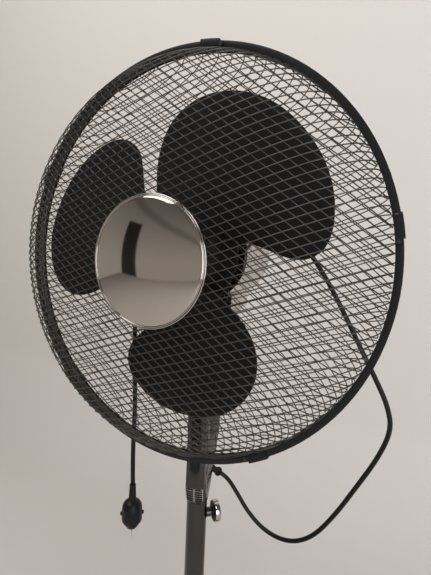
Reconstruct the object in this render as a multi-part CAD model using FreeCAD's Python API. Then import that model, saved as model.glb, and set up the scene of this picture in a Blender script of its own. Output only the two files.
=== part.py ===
"""Pedestal fan with a woven-wire guard: weighted round base, sliding column, chrome control
housing, tilting and swinging head, three-blade rotor, and a power cord draped over the motor.

Millimetres.  The origin is on the column's axis at the floor.  +Z is up, the fan blows towards -Y,
and +X is on the right of someone who faces the fan.
"""
import FreeCAD, Part
import math
import os

# ---- where the head sits -------------------------------------------------------------------------
HEAD_HEIGHT = 870.0          # floor to the guard's axis, with the pole pushed down
HEAD_REACH = 105.0           # column axis forward to the middle of the guard band
HEAD_OFFSET = 22.0           # column axis sideways to the guard's axis
MOTOR_SHIFT_X = -4.7         # guard's axis to the motor's axis, on which the guard hangs a little low
MOTOR_SHIFT_Z = 7.9
GAP = 0.3                    # air between pieces that pass or rest beside each other
RUN_FIT = 0.05               # radial clearance of a shaft in its bore

# ---- base ----------------------------------------------------------------------------------------
BASE_RADIUS = 190.0
COVER_WALL = 1.2
COVER_LIP_TOP = 10.0
COVER_CROWN = 34.0           # height of the cover's flat centre
COVER_CROWN_RADIUS = 50.0
WEIGHT_RADIUS = 174.0
WEIGHT_THICKNESS = 16.0
POCKET_INNER = 50.0          # ring-shaped hollow under the weight
POCKET_OUTER = 150.0
POCKET_DEPTH = 10.0
FOOT_THICKNESS = 4.0
FOOT_WIDTH = 14.0
SOCKET_TOP = 84.0
SOCKET_FLANGE_RADIUS = 36.0
SOCKET_NECK_RADIUS = 19.0
BASE_BOLT_RADIUS = 5.0
BASE_BOLT_HEAD_RADIUS = 12.0
BASE_BOLT_HEAD = 6.0
BASE_PLUG_LENGTH = 42.0

# ---- column --------------------------------------------------------------------------------------
TUBE_RADIUS = 14.5
TUBE_WALL = 1.5
TUBE_TOP = 526.0
POLE_RADIUS = 11.0
POLE_WALL = 1.4
POLE_FOOT = 215.0            # lower end of the sliding pole, pushed down
BUSH_LENGTH = 50.0
BUSH_RIM = 0.6
GUIDE_LENGTH = 10.0
KNOB_HEIGHT = 502.5
KNOB_TURN = 46.0             # the height knob points this many degrees from +X towards +Y
KNOB_RADIUS = 15.0
KNOB_THICKNESS = 9.0
KNOB_WALL = 1.6
KNOB_RECESS = 2.5            # hollow on the knob's inner face
KNOB_REACH = 25.0            # column axis to the height knob's inner face
KNOB_STUD_RADIUS = 3.0

# ---- control housing -----------------------------------------------------------------------------
HOUSING_TURN = 14.0          # the housing and the tilt hinge face this far from -Y towards +X
HOUSING_BOTTOM = 527.0
HOUSING_TOP = 747.0
HOUSING_WALL = 2.2
HOUSING_FRONT = -20.5
HOUSING_BACK = 24.0
HOUSING_SEAM = -7.0          # the front panel meets the rear shell in this plane
# height above the housing's foot, half width in front and at the back, front, back, corner radius
HOUSING_SECTIONS = [
    (0.0, 15.3, 15.3, -15.3, 15.3, 13.5),
    (9.0, 15.2, 15.9, -17.6, 18.4, 11.0),
    (19.0, 14.4, 16.6, -19.3, 21.6, 8.5),
    (33.0, 13.2, 17.4, HOUSING_FRONT, HOUSING_BACK, 6.0),
    (58.0, 12.4, 20.4, HOUSING_FRONT, HOUSING_BACK, 5.0),
    (98.0, 12.0, 26.0, HOUSING_FRONT, HOUSING_BACK, 5.0),
    (HOUSING_TOP - HOUSING_BOTTOM, 12.0, 26.5, HOUSING_FRONT, HOUSING_BACK, 5.0),
]
SLEEVE_TOP = 564.0
PANEL_WIDTH = 12.8
PANEL_BOTTOM = 575.0
PANEL_TOP = 685.0
PANEL_THICKNESS = 2.5
PANEL_PROUD = 0.6
BUTTON_WIDTH = 8.6
BUTTON_HEIGHT = 15.0
BUTTON_PITCH = 25.0
BUTTON_COUNT = 4
BUTTON_PROUD = 2.4
BUTTON_TRAVEL = 2.0
BUTTON_DEPTH = 5.6
SWITCH_HALF_WIDTH = 10.6
RIB_PANEL_HALF_WIDTH = 12.3
RIB_PANEL_BOTTOM = 531.0
RIB_PANEL_TOP = 552.0
RIB_COUNT = 6
SCREW_HEIGHT = 699.0
SCREW_SPACING = 12.0
SCREW_RADIUS = 1.9

# ---- tilt hinge and swing pivot ------------------------------------------------------------------
TILT_HEIGHT = 772.0
TILT_PIN_RADIUS = 4.0
LUG_RADIUS = 12.0
LUG_HALF_WIDTH = 9.0
EAR_THICKNESS = 6.0
TILT_KNOB_RADIUS = 14.0
NECK_FLANGE_RADIUS = 17.0
NECK_FLANGE_BOTTOM = 786.0
NECK_FLANGE_TOP = 793.0
SWING_PIN_RADIUS = 6.0
SWING_PIN_TOP = 816.0
MOUNT_BOTTOM = 807.0
CRANK_X = 26.0               # the crank's axis, from the swing axis
CRANK_Y = 20.0
CRANK_THROW = 14.85
CRANK_RADIUS = 18.5
CRANK_PIN_RADIUS = 2.5
SWING_ARM = 20.0             # swing axis back to the neck's fixed pin
SWING_ARM_EYE_SHIFT = 1.4    # the open eye sits this far behind the fixed pin at rest
OPEN_EYE_CLEARANCE = 1.75
LINK_BOTTOM = 797.0
LINK_THICKNESS = 3.5

# ---- motor (distances behind the guard band's middle plane) --------------------------------------
MOTOR_RADIUS = 59.0
MOTOR_SHELL_WALL = 1.6
MOTOR_FACE = 60.3
MOTOR_SEAM = 76.0
MOTOR_SHOULDER = 138.0
MOTOR_BACK = 168.0
FRONT_SHELL_WALL = 3.0
SHAFT_RADIUS = 4.0
SHAFT_FRONT = -48.0
SHAFT_BACK = 145.0
BEARING_RADIUS = 8.1
STATOR_FRONT = 83.5
STATOR_BACK = 112.0
ROTOR_RADIUS = 26.5
AIR_GAP = 0.5
BRACKET_FRONT = 130.0
BRACKET_BACK = 134.0
SWING_KNOB_RADIUS = 6.5
SWING_KNOB_STEM_RADIUS = 3.0
SWING_KNOB_HEIGHT = 9.0
SWING_KNOB_STEM = 16.0

# ---- guard ---------------------------------------------------------------------------------------
BAND_RADIUS = 225.0
BAND_WALL = 2.0
BAND_HALF_WIDTH = 6.5
BAND_FLANGE = 1.5
BAND_FLANGE_DEPTH = 4.8
RIM_WIRE_RADIUS = 2.2
RIM_RING_RADIUS = 220.3
RIM_RING_PLANE = 2.35
DISH_RADIUS = 217.4
DISH_DEPTH = 60.0
DISH_START = 2.35
DISH_RADIAL_POWER = 6.0
DISH_DEPTH_POWER = 1.6
DISH_WALL = 1.0
FRONT_DISH_HOLE = 20.0
REAR_DISH_HOLE = 31.0
GUARD_NUT_RADIUS = 46.0
GUARD_NUT_FRONT = 51.0
CLIP_COUNT = 5
CLIP_FIRST_ANGLE = 10.1
CLIP_HALF_SPAN = 2.8
CLIP_THICKNESS = 1.0
CLIP_LIFT = 0.4              # air between the band and the clip's back
CLIP_CHEEK = 1.2
CLIP_CHEEK_REACH = 218.6     # the cheeks' inner edge, from the guard's axis
CLIP_EYE_RADIUS = 2.5
CLIP_PIN_REACH = 221.2
CLIP_PIN_RADIUS = 1.3
CLIP_PIN_HEAD = 2.1
CLIP_PIVOT_LEAD = 3.5        # degrees from the clip's middle back to its pivot

# ---- rotor ---------------------------------------------------------------------------------------
BLADE_COUNT = 3
BLADE_RADIUS = 182.0
BLADE_THICKNESS = 2.0
BLADE_REST_ANGLE = -0.84
BLADE_BACK_PLANE = 12.0      # the leading edge, behind the band's middle
BLADE_RISE = 48.0            # depth from the leading edge to the trailing edge
BLADE_CAMBER = 5.0
BLADE_SPAN = 87.0            # degrees that one blade covers
HUB_RADIUS = 46.0
HUB_WALL = 2.5
HUB_BOSS_RADIUS = 12.0
HUB_FLANGE_RADIUS = 63.0
HUB_FRONT = -36.0
HUB_BACK = 27.0
BLADE_NUT_RADIUS = 20.0
BLADE_NUT_FRONT = -52.0
# one blade's outline: (radius, degrees from its leading corner)
BLADE_OUTLINE = [
    (22.0, 42.0), (60.0, 18.0), (86.0, 9.0), (114.0, 2.0), (138.0, 0.0), (157.0, 3.5),
    (172.0, 14.0), (180.0, 28.0), (182.0, 42.0), (180.0, 55.0), (172.0, 66.0),
    (155.0, 77.0), (128.0, 86.0), (95.0, 91.0), (60.0, 92.0),
]

# ---- centre badge --------------------------------------------------------------------------------
BADGE_RADIUS = 66.3
BADGE_DROP = 2.2             # the badge sits this far under the guard's axis
BADGE_RISE = 14.0
BADGE_WALL = 1.5
BADGE_RIM = 2.6
BACKING_RADIUS = 58.0
BACKING_THICKNESS = 1.5

# ---- cord ----------------------------------------------------------------------------------------
CORD_RADIUS = 3.2
GLAND_HEIGHT = 563.5
GLAND_X = 11.0               # along the housing's own width
GLAND_FLANGE_RADIUS = 6.0
GLAND_FLANGE = 2.0
GLAND_DIRECTION = (0.249, 0.747, -0.617)
GLAND_LENGTH = 26.0
GLAND_COLLAR_RADIUS = 6.8    # loose washer-like collar near the boot's end
GLAND_COLLAR = 1.8
# the plug's radius at distances under the cord's end
PLUG_PROFILE = [
    (0.0, 4.3), (0.8, 4.65), (23.3, 5.6), (24.6, 8.2), (27.0, 11.3), (31.0, 13.6), (36.0, 14.5),
    (54.0, 14.6), (58.0, 12.3), (65.0, 7.6), (66.0, 6.6),
]
PLUG_GRIP_REACH = 17.0
PLUG_PIN_WIDTH = 4.4         # both flat pins lie in one plane
PLUG_PIN_THICKNESS = 1.5
PLUG_PIN_LENGTH = 11.0
PLUG_PIN_SPACING = 7.8
PLUG_PIN_TURN = 127.6        # degrees from +X of the line through both pins
CORD_EXIT = (11.7, 45.0, 547.5)
CORD_LOWER = [
    CORD_EXIT, (17.2, 61.4, 533.9), (30, 70, 511), (52, 75, 477), (82, 78, 454), (118, 80, 450),
    (151, 80, 471), (180, 79, 516), (193, 77.5, 542),
]
CORD_MIDDLE = [
    (193, 77.5, 542), (206, 76, 568), (230, 70, 618), (244, 65, 662), (237, 62, 694),
    (222, 60, 724), (211, 60, 743.5),
]
CORD_UPPER = [
    (211, 60, 743.5), (200, 60, 763), (177, 61, 805), (151, 60, 850), (122, 57, 891),
    (90, 52, 923), (52, 46, 941), (12, 35, 944), (-28, 14, 936), (-60, -13, 908),
    (-80, -31, 864), (-89, -38, 802), (-90, -38, 733), (-86.5, -36.5, 660), (-88, -38, 590),
    (-87, -37, 540),
]

X_AXIS = FreeCAD.Vector(1, 0, 0)
Y_AXIS = FreeCAD.Vector(0, 1, 0)
Z_AXIS = FreeCAD.Vector(0, 0, 1)
ORIGIN = FreeCAD.Vector(0, 0, 0)
HEAD_CENTRE = FreeCAD.Vector(HEAD_OFFSET, -HEAD_REACH, HEAD_HEIGHT)
MOTOR_CENTRE = HEAD_CENTRE + FreeCAD.Vector(MOTOR_SHIFT_X, 0, MOTOR_SHIFT_Z)
SWING_KNOB_BOTTOM = MOTOR_CENTRE.z + MOTOR_RADIUS + GAP

FOOT_TOP = FOOT_THICKNESS
WEIGHT_TOP = FOOT_THICKNESS + WEIGHT_THICKNESS
TUBE_BORE = TUBE_RADIUS - TUBE_WALL
DISH_INSIDE = DISH_DEPTH - DISH_WALL


def at(x, y, z):
    return FreeCAD.Vector(x, y, z)


def rod(radius, start, direction, length):
    return Part.makeCylinder(radius, length, start, direction)


def ring(outer, inner, start, direction, length):
    """A tube from start along direction."""
    drill_start = start - direction * 1.0
    return rod(outer, start, direction, length).cut(rod(inner, drill_start, direction, length + 2.0))


def block(low, high):
    """A box between two corners."""
    low = FreeCAD.Vector(*low)
    high = FreeCAD.Vector(*high)
    size = high - low
    return Part.makeBox(size.x, size.y, size.z, low)


def behind(distance):
    """The Y of a plane that lies this far behind the guard band's middle."""
    return distance - HEAD_REACH


def on_axis(distance, centre=HEAD_CENTRE):
    """The point of the guard's or the motor's axis that far behind the band's middle."""
    return at(centre.x, behind(distance), centre.z)


def head_rod(radius, front, back, centre=HEAD_CENTRE):
    return rod(radius, on_axis(front, centre), Y_AXIS, back - front)


def head_ring(outer, inner, front, back, centre=HEAD_CENTRE):
    return ring(outer, inner, on_axis(front, centre), Y_AXIS, back - front)


def motor_rod(radius, front, back):
    return head_rod(radius, front, back, MOTOR_CENTRE)


def motor_ring(outer, inner, front, back):
    return head_ring(outer, inner, front, back, MOTOR_CENTRE)


def head_point(radius, degrees, distance, centre=HEAD_CENTRE):
    """A point around an axis of the head, counted from +X towards +Z."""
    turn = math.radians(degrees)
    return at(centre.x + radius * math.cos(turn), behind(distance), centre.z + radius * math.sin(turn))


def head_turned(profile):
    """Turn a closed wire of (radius, distance behind) points around the fan's axis."""
    corners = [at(HEAD_OFFSET + radius, behind(distance), HEAD_HEIGHT) for radius, distance in profile]
    outline = Part.makePolygon(corners + corners[:1])
    return Part.Face(outline).revolve(HEAD_CENTRE, Y_AXIS, 360)


def column_turned(profile):
    """Turn a closed wire of (radius, height) points around the column."""
    corners = [at(radius, 0, height) for radius, height in profile]
    outline = Part.makePolygon(corners + corners[:1])
    return Part.Face(outline).revolve(ORIGIN, Z_AXIS, 360)


def spline_edge(points):
    curve = Part.BSplineCurve()
    curve.interpolate(points)
    return curve.toShape()


def line_edge(start, end):
    return Part.makeLine(start, end)


def rounded_wire(corners, radius):
    """A closed wire through corner points at one height, with every corner rounded."""
    count = len(corners)
    arcs = []
    for index, corner in enumerate(corners):
        before = corners[index - 1] - corner
        after = corners[(index + 1) % count] - corner
        before.normalize()
        after.normalize()
        half_angle = before.getAngle(after) / 2.0
        inward = before + after
        inward.normalize()
        reach = radius / math.tan(half_angle)
        middle = corner + inward * (radius / math.sin(half_angle) - radius)
        arcs.append((corner + before * reach, middle, corner + after * reach))
    edges = []
    for index, (start, middle, end) in enumerate(arcs):
        edges.append(Part.Arc(start, middle, end).toShape())
        edges.append(line_edge(end, arcs[(index + 1) % count][0]))
    return Part.Wire(edges)


def stadium(width, bottom, top, front, back):
    """An upright slab with round ends, from front to back along Y."""
    half = width / 2.0
    slab = block((-half, front, bottom + half), (half, back, top - half))
    for height in (bottom + half, top - half):
        slab = slab.fuse(rod(half, at(0, front, height), Y_AXIS, back - front))
    return slab.removeSplitter()


def facing(shape):
    """Turn a shape from the housing's own directions to the way that the housing faces."""
    return shape.rotated(ORIGIN, Z_AXIS, HOUSING_TURN)


def save(name, shape):
    shape.exportStep("parts/" + name + ".step")


# ---- base ----------------------------------------------------------------------------------------
def cover_profile(inset):
    """Points of the cover's outer face, pulled in by inset: lip, shoulder, slope and crown."""
    return [
        (BASE_RADIUS - inset, COVER_LIP_TOP - inset),
        (BASE_RADIUS - 5.0 - inset, COVER_LIP_TOP + 7.5 - inset),
        (WEIGHT_RADIUS + 2.0 - inset, WEIGHT_TOP + COVER_WALL + GAP + 0.9 - inset),
        (BASE_RADIUS * 0.68, COVER_CROWN - 6.6 - inset),
        (COVER_CROWN_RADIUS + 30.0, COVER_CROWN - 1.6 - inset),
        (COVER_CROWN_RADIUS, COVER_CROWN - inset),
    ]


def base_cover():
    outer = [at(radius, 0, height) for radius, height in cover_profile(0.0)]
    inner = [at(radius, 0, height) for radius, height in cover_profile(COVER_WALL)]
    hole = TUBE_RADIUS + 2.0
    lip = FOOT_THICKNESS - 2.0
    edges = [
        line_edge(at(hole, 0, COVER_CROWN), outer[-1]),
        spline_edge(outer),
        line_edge(outer[0], at(BASE_RADIUS, 0, lip)),
        line_edge(at(BASE_RADIUS, 0, lip), at(BASE_RADIUS - COVER_WALL, 0, lip)),
        line_edge(at(BASE_RADIUS - COVER_WALL, 0, lip), inner[0]),
        spline_edge(inner),
        line_edge(inner[-1], at(hole, 0, COVER_CROWN - COVER_WALL)),
        line_edge(at(hole, 0, COVER_CROWN - COVER_WALL), at(hole, 0, COVER_CROWN)),
    ]
    profile = Part.Wire(Part.__sortEdges__(edges))
    return Part.Face(profile).revolve(ORIGIN, Z_AXIS, 360)


def base_weight():
    """Cast disc with a hollow ring beneath and a hub up to the cover's crown, bored for column and bolt."""
    hub_top = COVER_CROWN - COVER_WALL
    disc = rod(WEIGHT_RADIUS, at(0, 0, FOOT_TOP), Z_AXIS, WEIGHT_THICKNESS)
    disc = disc.fuse(rod(SOCKET_FLANGE_RADIUS, at(0, 0, WEIGHT_TOP), Z_AXIS, hub_top - WEIGHT_TOP))
    disc = disc.cut(rod(TUBE_RADIUS + RUN_FIT, at(0, 0, WEIGHT_TOP), Z_AXIS, hub_top))
    disc = disc.cut(rod(BASE_BOLT_RADIUS + GAP, ORIGIN, Z_AXIS, WEIGHT_TOP + 1.0))
    disc = disc.cut(ring(POCKET_OUTER, POCKET_INNER, at(0, 0, FOOT_TOP - 1.0), Z_AXIS, POCKET_DEPTH + 1.0))
    recess = BASE_BOLT_HEAD + 2.0
    return disc.cut(rod(BASE_BOLT_HEAD_RADIUS + 2.0, at(0, 0, FOOT_TOP - 1.0), Z_AXIS, recess + 1.0))


def foot_ring():
    outer = WEIGHT_RADIUS - 2.0
    return ring(outer, outer - FOOT_WIDTH, ORIGIN, Z_AXIS, FOOT_THICKNESS)


def base_bolt():
    head_top = FOOT_TOP + BASE_BOLT_HEAD + 2.0
    head = rod(BASE_BOLT_HEAD_RADIUS, at(0, 0, head_top - BASE_BOLT_HEAD), Z_AXIS, BASE_BOLT_HEAD)
    reach = WEIGHT_TOP + BASE_PLUG_LENGTH - 4.0 - head_top
    return head.fuse(rod(BASE_BOLT_RADIUS, at(0, 0, head_top), Z_AXIS, reach))


def tube_plug():
    """Threaded plug in the column's foot that the base bolt pulls on."""
    bore = BASE_BOLT_RADIUS + RUN_FIT
    return ring(TUBE_BORE - RUN_FIT, bore, at(0, 0, WEIGHT_TOP + GAP), Z_AXIS, BASE_PLUG_LENGTH)


def column_socket():
    bore = TUBE_RADIUS + RUN_FIT
    profile = [
        (bore, COVER_CROWN), (SOCKET_FLANGE_RADIUS, COVER_CROWN), (SOCKET_FLANGE_RADIUS, COVER_CROWN + 4.0),
        (SOCKET_NECK_RADIUS + 6.0, COVER_CROWN + 9.0), (SOCKET_NECK_RADIUS, COVER_CROWN + 26.0),
        (SOCKET_NECK_RADIUS - 1.0, SOCKET_TOP - 2.0), (SOCKET_NECK_RADIUS - 3.0, SOCKET_TOP),
        (bore, SOCKET_TOP),
    ]
    return column_turned(profile)


# ---- column --------------------------------------------------------------------------------------
def knob_direction():
    turn = math.radians(KNOB_TURN)
    return at(math.cos(turn), math.sin(turn), 0)


def knob_point(reach):
    return at(0, 0, KNOB_HEIGHT) + knob_direction() * reach


def outer_tube():
    """The fixed column, with a welded boss that takes the height knob's stud."""
    tube = ring(TUBE_RADIUS, TUBE_BORE, at(0, 0, WEIGHT_TOP), Z_AXIS, TUBE_TOP - WEIGHT_TOP)
    boss = rod(KNOB_STUD_RADIUS + 3.5, knob_point(TUBE_BORE + 1.0), knob_direction(), 6.0)
    tube = tube.fuse(boss.cut(rod(TUBE_BORE, at(0, 0, WEIGHT_TOP), Z_AXIS, TUBE_TOP - WEIGHT_TOP)))
    return tube.cut(rod(KNOB_STUD_RADIUS + RUN_FIT, knob_point(2.0), knob_direction(), 30.0))


def tube_bush():
    """Plastic liner at the column's mouth that the pole slides in."""
    bore = POLE_RADIUS + RUN_FIT
    bottom = TUBE_TOP - BUSH_LENGTH
    liner = ring(TUBE_BORE - RUN_FIT, bore, at(0, 0, bottom), Z_AXIS, BUSH_LENGTH)
    rim = ring(TUBE_RADIUS, bore, at(0, 0, TUBE_TOP), Z_AXIS, BUSH_RIM)
    liner = liner.fuse(rim)
    return liner.cut(rod(KNOB_STUD_RADIUS + GAP, knob_point(2.0), knob_direction(), 30.0))


def height_knob():
    """Round knob, hollow towards the column, on a threaded stud that pinches the pole."""
    along = knob_direction()
    knob = rod(KNOB_RADIUS, knob_point(KNOB_REACH), along, KNOB_THICKNESS)
    far = KNOB_REACH + KNOB_THICKNESS - 0.1
    knob = knob.makeFillet(1.5, [edge for edge in knob.Edges if edge.BoundBox.Center.dot(along) > far])
    hollow = ring(KNOB_RADIUS - KNOB_WALL, KNOB_STUD_RADIUS + 3.0, knob_point(KNOB_REACH), along, KNOB_RECESS)
    knob = knob.cut(hollow)
    shank = rod(KNOB_STUD_RADIUS + 2.5, knob_point(KNOB_REACH - 3.0), along, 3.0)
    stud_start = POLE_RADIUS + GAP
    stud = rod(KNOB_STUD_RADIUS, knob_point(stud_start), along, KNOB_REACH - stud_start + 1.0)
    return knob.fuse(shank).fuse(stud)


def inner_tube():
    length = SLEEVE_TOP - POLE_FOOT
    return ring(POLE_RADIUS, POLE_RADIUS - POLE_WALL, at(0, 0, POLE_FOOT), Z_AXIS, length)


def pole_guide():
    """Plastic end plug that keeps the pole central in the column."""
    disc = rod(TUBE_BORE - RUN_FIT, at(0, 0, POLE_FOOT - GUIDE_LENGTH), Z_AXIS, GUIDE_LENGTH)
    spigot = rod(POLE_RADIUS - POLE_WALL - RUN_FIT, at(0, 0, POLE_FOOT), Z_AXIS, GUIDE_LENGTH)
    return disc.fuse(spigot)


# ---- control housing -----------------------------------------------------------------------------
def housing_wire(section, inset, height):
    """One section of the housing, narrow in front and wide at the back, pulled in by inset."""
    _, front_half, back_half, front, back, corner = section
    flare = math.atan2(back_half - front_half, back - front)
    side = inset / math.cos(flare)
    slip = inset * math.tan(flare)
    front_half = front_half + slip - side
    back_half = back_half - slip - side
    front = front + inset
    back = back - inset
    corners = [at(-front_half, front, height), at(front_half, front, height),
               at(back_half, back, height), at(-back_half, back, height)]
    return rounded_wire(corners, max(corner - inset, 1.0))


def housing_block(inset, bottom_lift, top_lift=0.0):
    wires = []
    for section in HOUSING_SECTIONS:
        height = HOUSING_BOTTOM + max(section[0], bottom_lift)
        wires.append(housing_wire(section, inset, height))
    if top_lift:
        wires.append(housing_wire(HOUSING_SECTIONS[-1], inset, HOUSING_TOP + top_lift))
    return Part.makeLoft(wires, True, True)


def housing_shell():
    """Hollow housing, open on top, with a round hole in its floor for the pole."""
    shell = housing_block(0.0, 0.0).cut(housing_block(HOUSING_WALL, HOUSING_WALL + 0.3, 1.0))
    return shell.cut(rod(POLE_RADIUS + GAP, at(0, 0, HOUSING_BOTTOM - 1.0), Z_AXIS, 6.0))


def housing_side(front_half):
    """Everything in front of or behind the seam, as a cutting block."""
    far = 60.0
    near = HOUSING_SEAM - 0.1 if front_half else HOUSING_SEAM + 0.1
    if front_half:
        return block((-far, -far, HOUSING_BOTTOM - 5.0), (far, near, HOUSING_TOP + 5.0))
    return block((-far, near, HOUSING_BOTTOM - 5.0), (far, far, HOUSING_TOP + 5.0))


def rib_pocket(grow):
    """The shallow recess at the housing's front foot that the ribbed insert fills."""
    window = block((-RIB_PANEL_HALF_WIDTH - grow, -40.0, RIB_PANEL_BOTTOM - grow),
                   (RIB_PANEL_HALF_WIDTH + grow, HOUSING_SEAM - 1.0, RIB_PANEL_TOP + grow))
    return window.common(housing_block(0.0, 0.0).cut(housing_block(1.4 + grow, 0.0)))


def housing_front():
    shell = housing_shell().common(housing_side(True))
    slot = stadium(PANEL_WIDTH + 2 * GAP, PANEL_BOTTOM - GAP, PANEL_TOP + GAP, HOUSING_FRONT - 3.0, -10.0)
    shell = shell.cut(slot).cut(rib_pocket(0.15))
    for side in (-0.5, 0.5):
        start = at(side * SCREW_SPACING, HOUSING_FRONT + HOUSING_WALL - 0.5, SCREW_HEIGHT)
        boss = rod(SCREW_RADIUS + 2.4, start, Y_AXIS, HOUSING_SEAM - 0.1 - start.y)
        drill_start = at(start.x, start.y + 1.5, start.z)
        shell = shell.fuse(boss).cut(rod(SCREW_RADIUS + RUN_FIT, drill_start, Y_AXIS, 30.0))
    return shell


def housing_rear():
    shell = housing_shell().common(housing_side(False))
    for side in (-0.5, 0.5):
        start = at(side * SCREW_SPACING, HOUSING_BACK - 6.0, SCREW_HEIGHT)
        shell = shell.cut(rod(SCREW_RADIUS + 0.2, start, Y_AXIS, 10.0))
    gland = rod(CORD_RADIUS + 1.8, at(GLAND_X, HOUSING_BACK - 9.0, GLAND_HEIGHT), Y_AXIS, 15.0)
    return shell.cut(gland)


def housing_screws():
    screws = []
    for side in (-0.5, 0.5):
        head = at(side * SCREW_SPACING, HOUSING_BACK, SCREW_HEIGHT)
        shank_start = at(head.x, HOUSING_SEAM - 7.0, head.z)
        shank = rod(SCREW_RADIUS, shank_start, Y_AXIS, HOUSING_BACK - shank_start.y)
        screws.append(shank.fuse(rod(SCREW_RADIUS * 1.8, head, Y_AXIS, 1.6)))
    return Part.makeCompound(screws)


def pole_sleeve():
    """Steel sleeve on the housing's floor that the pole's top is pressed into."""
    bottom = HOUSING_BOTTOM + HOUSING_WALL + 0.5
    outer = HOUSING_SECTIONS[0][1] - HOUSING_WALL - GAP
    return ring(outer, POLE_RADIUS + RUN_FIT, at(0, 0, bottom), Z_AXIS, SLEEVE_TOP - bottom)


def button_heights():
    middle = (PANEL_BOTTOM + PANEL_TOP) / 2.0
    first = middle - BUTTON_PITCH * (BUTTON_COUNT - 1) / 2.0
    return [first + BUTTON_PITCH * index for index in range(BUTTON_COUNT)]


def button_panel():
    front = HOUSING_FRONT - PANEL_PROUD
    panel = stadium(PANEL_WIDTH, PANEL_BOTTOM, PANEL_TOP, front, front + PANEL_THICKNESS)
    for height in button_heights():
        half = BUTTON_HEIGHT / 2.0 + GAP
        hole = stadium(BUTTON_WIDTH + 2 * GAP, height - half, height + half, front - 1.0, front + 9.0)
        panel = panel.cut(hole)
    return panel


def button(height):
    """A key with round ends and a retaining flange behind the panel."""
    front = HOUSING_FRONT - PANEL_PROUD - BUTTON_PROUD
    half = BUTTON_HEIGHT / 2.0
    key = stadium(BUTTON_WIDTH, height - half, height + half, front, front + BUTTON_DEPTH)
    flange_front = HOUSING_FRONT - PANEL_PROUD + PANEL_THICKNESS + GAP
    flange = stadium(BUTTON_WIDTH + 3.0, height - half - 1.5, height + half + 1.5,
                     flange_front, flange_front + 1.4)
    return key.fuse(flange)


def switch_block():
    """The switch body behind the keys, a close fit in the housing."""
    key_back = HOUSING_FRONT - PANEL_PROUD + PANEL_THICKNESS + GAP + 1.4
    front = key_back + BUTTON_TRAVEL + 0.4
    return block((-SWITCH_HALF_WIDTH, front, PANEL_BOTTOM + 10.0), (SWITCH_HALF_WIDTH, 8.0, PANEL_TOP - 4.0))


def ribbed_insert():
    """Dark plate at the housing's foot with two columns of raised ribs."""
    plate = rib_pocket(0.0)
    pitch = (RIB_PANEL_TOP - RIB_PANEL_BOTTOM) / RIB_COUNT
    proud = housing_block(-0.9, 0.0).cut(housing_block(0.7, 0.0))
    for index in range(RIB_COUNT):
        low = RIB_PANEL_BOTTOM + pitch * (index + 0.25)
        for left, right in ((-RIB_PANEL_HALF_WIDTH + 1.0, -0.8), (0.8, RIB_PANEL_HALF_WIDTH - 1.0)):
            rib = block((left, -40.0, low), (right, HOUSING_SEAM - 3.0, low + pitch * 0.5))
            plate = plate.fuse(rib.common(proud))
    return plate


def strain_relief():
    """Flanged gland on the housing's back, with a tapered boot and a collar that the cord leaves."""
    along = FreeCAD.Vector(*GLAND_DIRECTION)
    along.normalize()
    wall = HOUSING_BACK + GAP
    flange = rod(GLAND_FLANGE_RADIUS, at(GLAND_X, wall, GLAND_HEIGHT), Y_AXIS, GLAND_FLANGE)
    spigot = rod(CORD_RADIUS + 1.6, at(GLAND_X, HOUSING_BACK - 6.0, GLAND_HEIGHT), Y_AXIS, 7.0)
    fixed = facing(flange.fuse(spigot))
    boot_end = FreeCAD.Vector(*CORD_EXIT)
    boot_start = boot_end - along * GLAND_LENGTH
    boot = Part.makeCone(CORD_RADIUS + 2.0, CORD_RADIUS + 0.8, GLAND_LENGTH, boot_start, along)
    keep = facing(block((-60.0, wall, GLAND_HEIGHT - 80.0), (60.0, 120.0, GLAND_HEIGHT + 40.0)))
    collar = rod(GLAND_COLLAR_RADIUS, boot_end - along * (GLAND_COLLAR + 1.0), along, GLAND_COLLAR)
    return fixed.fuse(boot.common(keep)).fuse(collar)


# ---- tilt hinge, swing pivot and crank -----------------------------------------------------------
def tilt_point(x):
    return at(x, 0, TILT_HEIGHT)


def pole_head():
    """Casting that closes the housing and carries the two ears of the tilt hinge."""
    top = HOUSING_SECTIONS[-1]
    inside = HOUSING_WALL + GAP
    spigot = Part.makeLoft([housing_wire(top, inside, HOUSING_TOP - 27.0),
                            housing_wire(top, inside, HOUSING_TOP + 1.0)], True, True)
    cap_wires = [housing_wire(top, 0.0, height) for height in (HOUSING_TOP + GAP, HOUSING_TOP + 5.0)]
    cap = Part.makeLoft(cap_wires, True, True)
    casting = spigot.fuse(cap)
    inner = LUG_HALF_WIDTH + GAP
    for start in (-inner - EAR_THICKNESS, inner):
        ear = rod(LUG_RADIUS, tilt_point(start), X_AXIS, EAR_THICKNESS)
        stem = block((start, -LUG_RADIUS, HOUSING_TOP + 4.0),
                     (start + EAR_THICKNESS, LUG_RADIUS, TILT_HEIGHT))
        casting = casting.fuse(ear).fuse(stem)
    return casting.cut(rod(TILT_PIN_RADIUS + RUN_FIT, tilt_point(-40.0), X_AXIS, 80.0))


def tilt_bolt():
    outside = LUG_HALF_WIDTH + GAP + EAR_THICKNESS
    bolt = rod(TILT_PIN_RADIUS, tilt_point(-outside - 1.0), X_AXIS, 2 * outside + 13.0)
    return bolt.fuse(rod(TILT_PIN_RADIUS + 3.0, tilt_point(-outside - 4.5), X_AXIS, 4.3))


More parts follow.
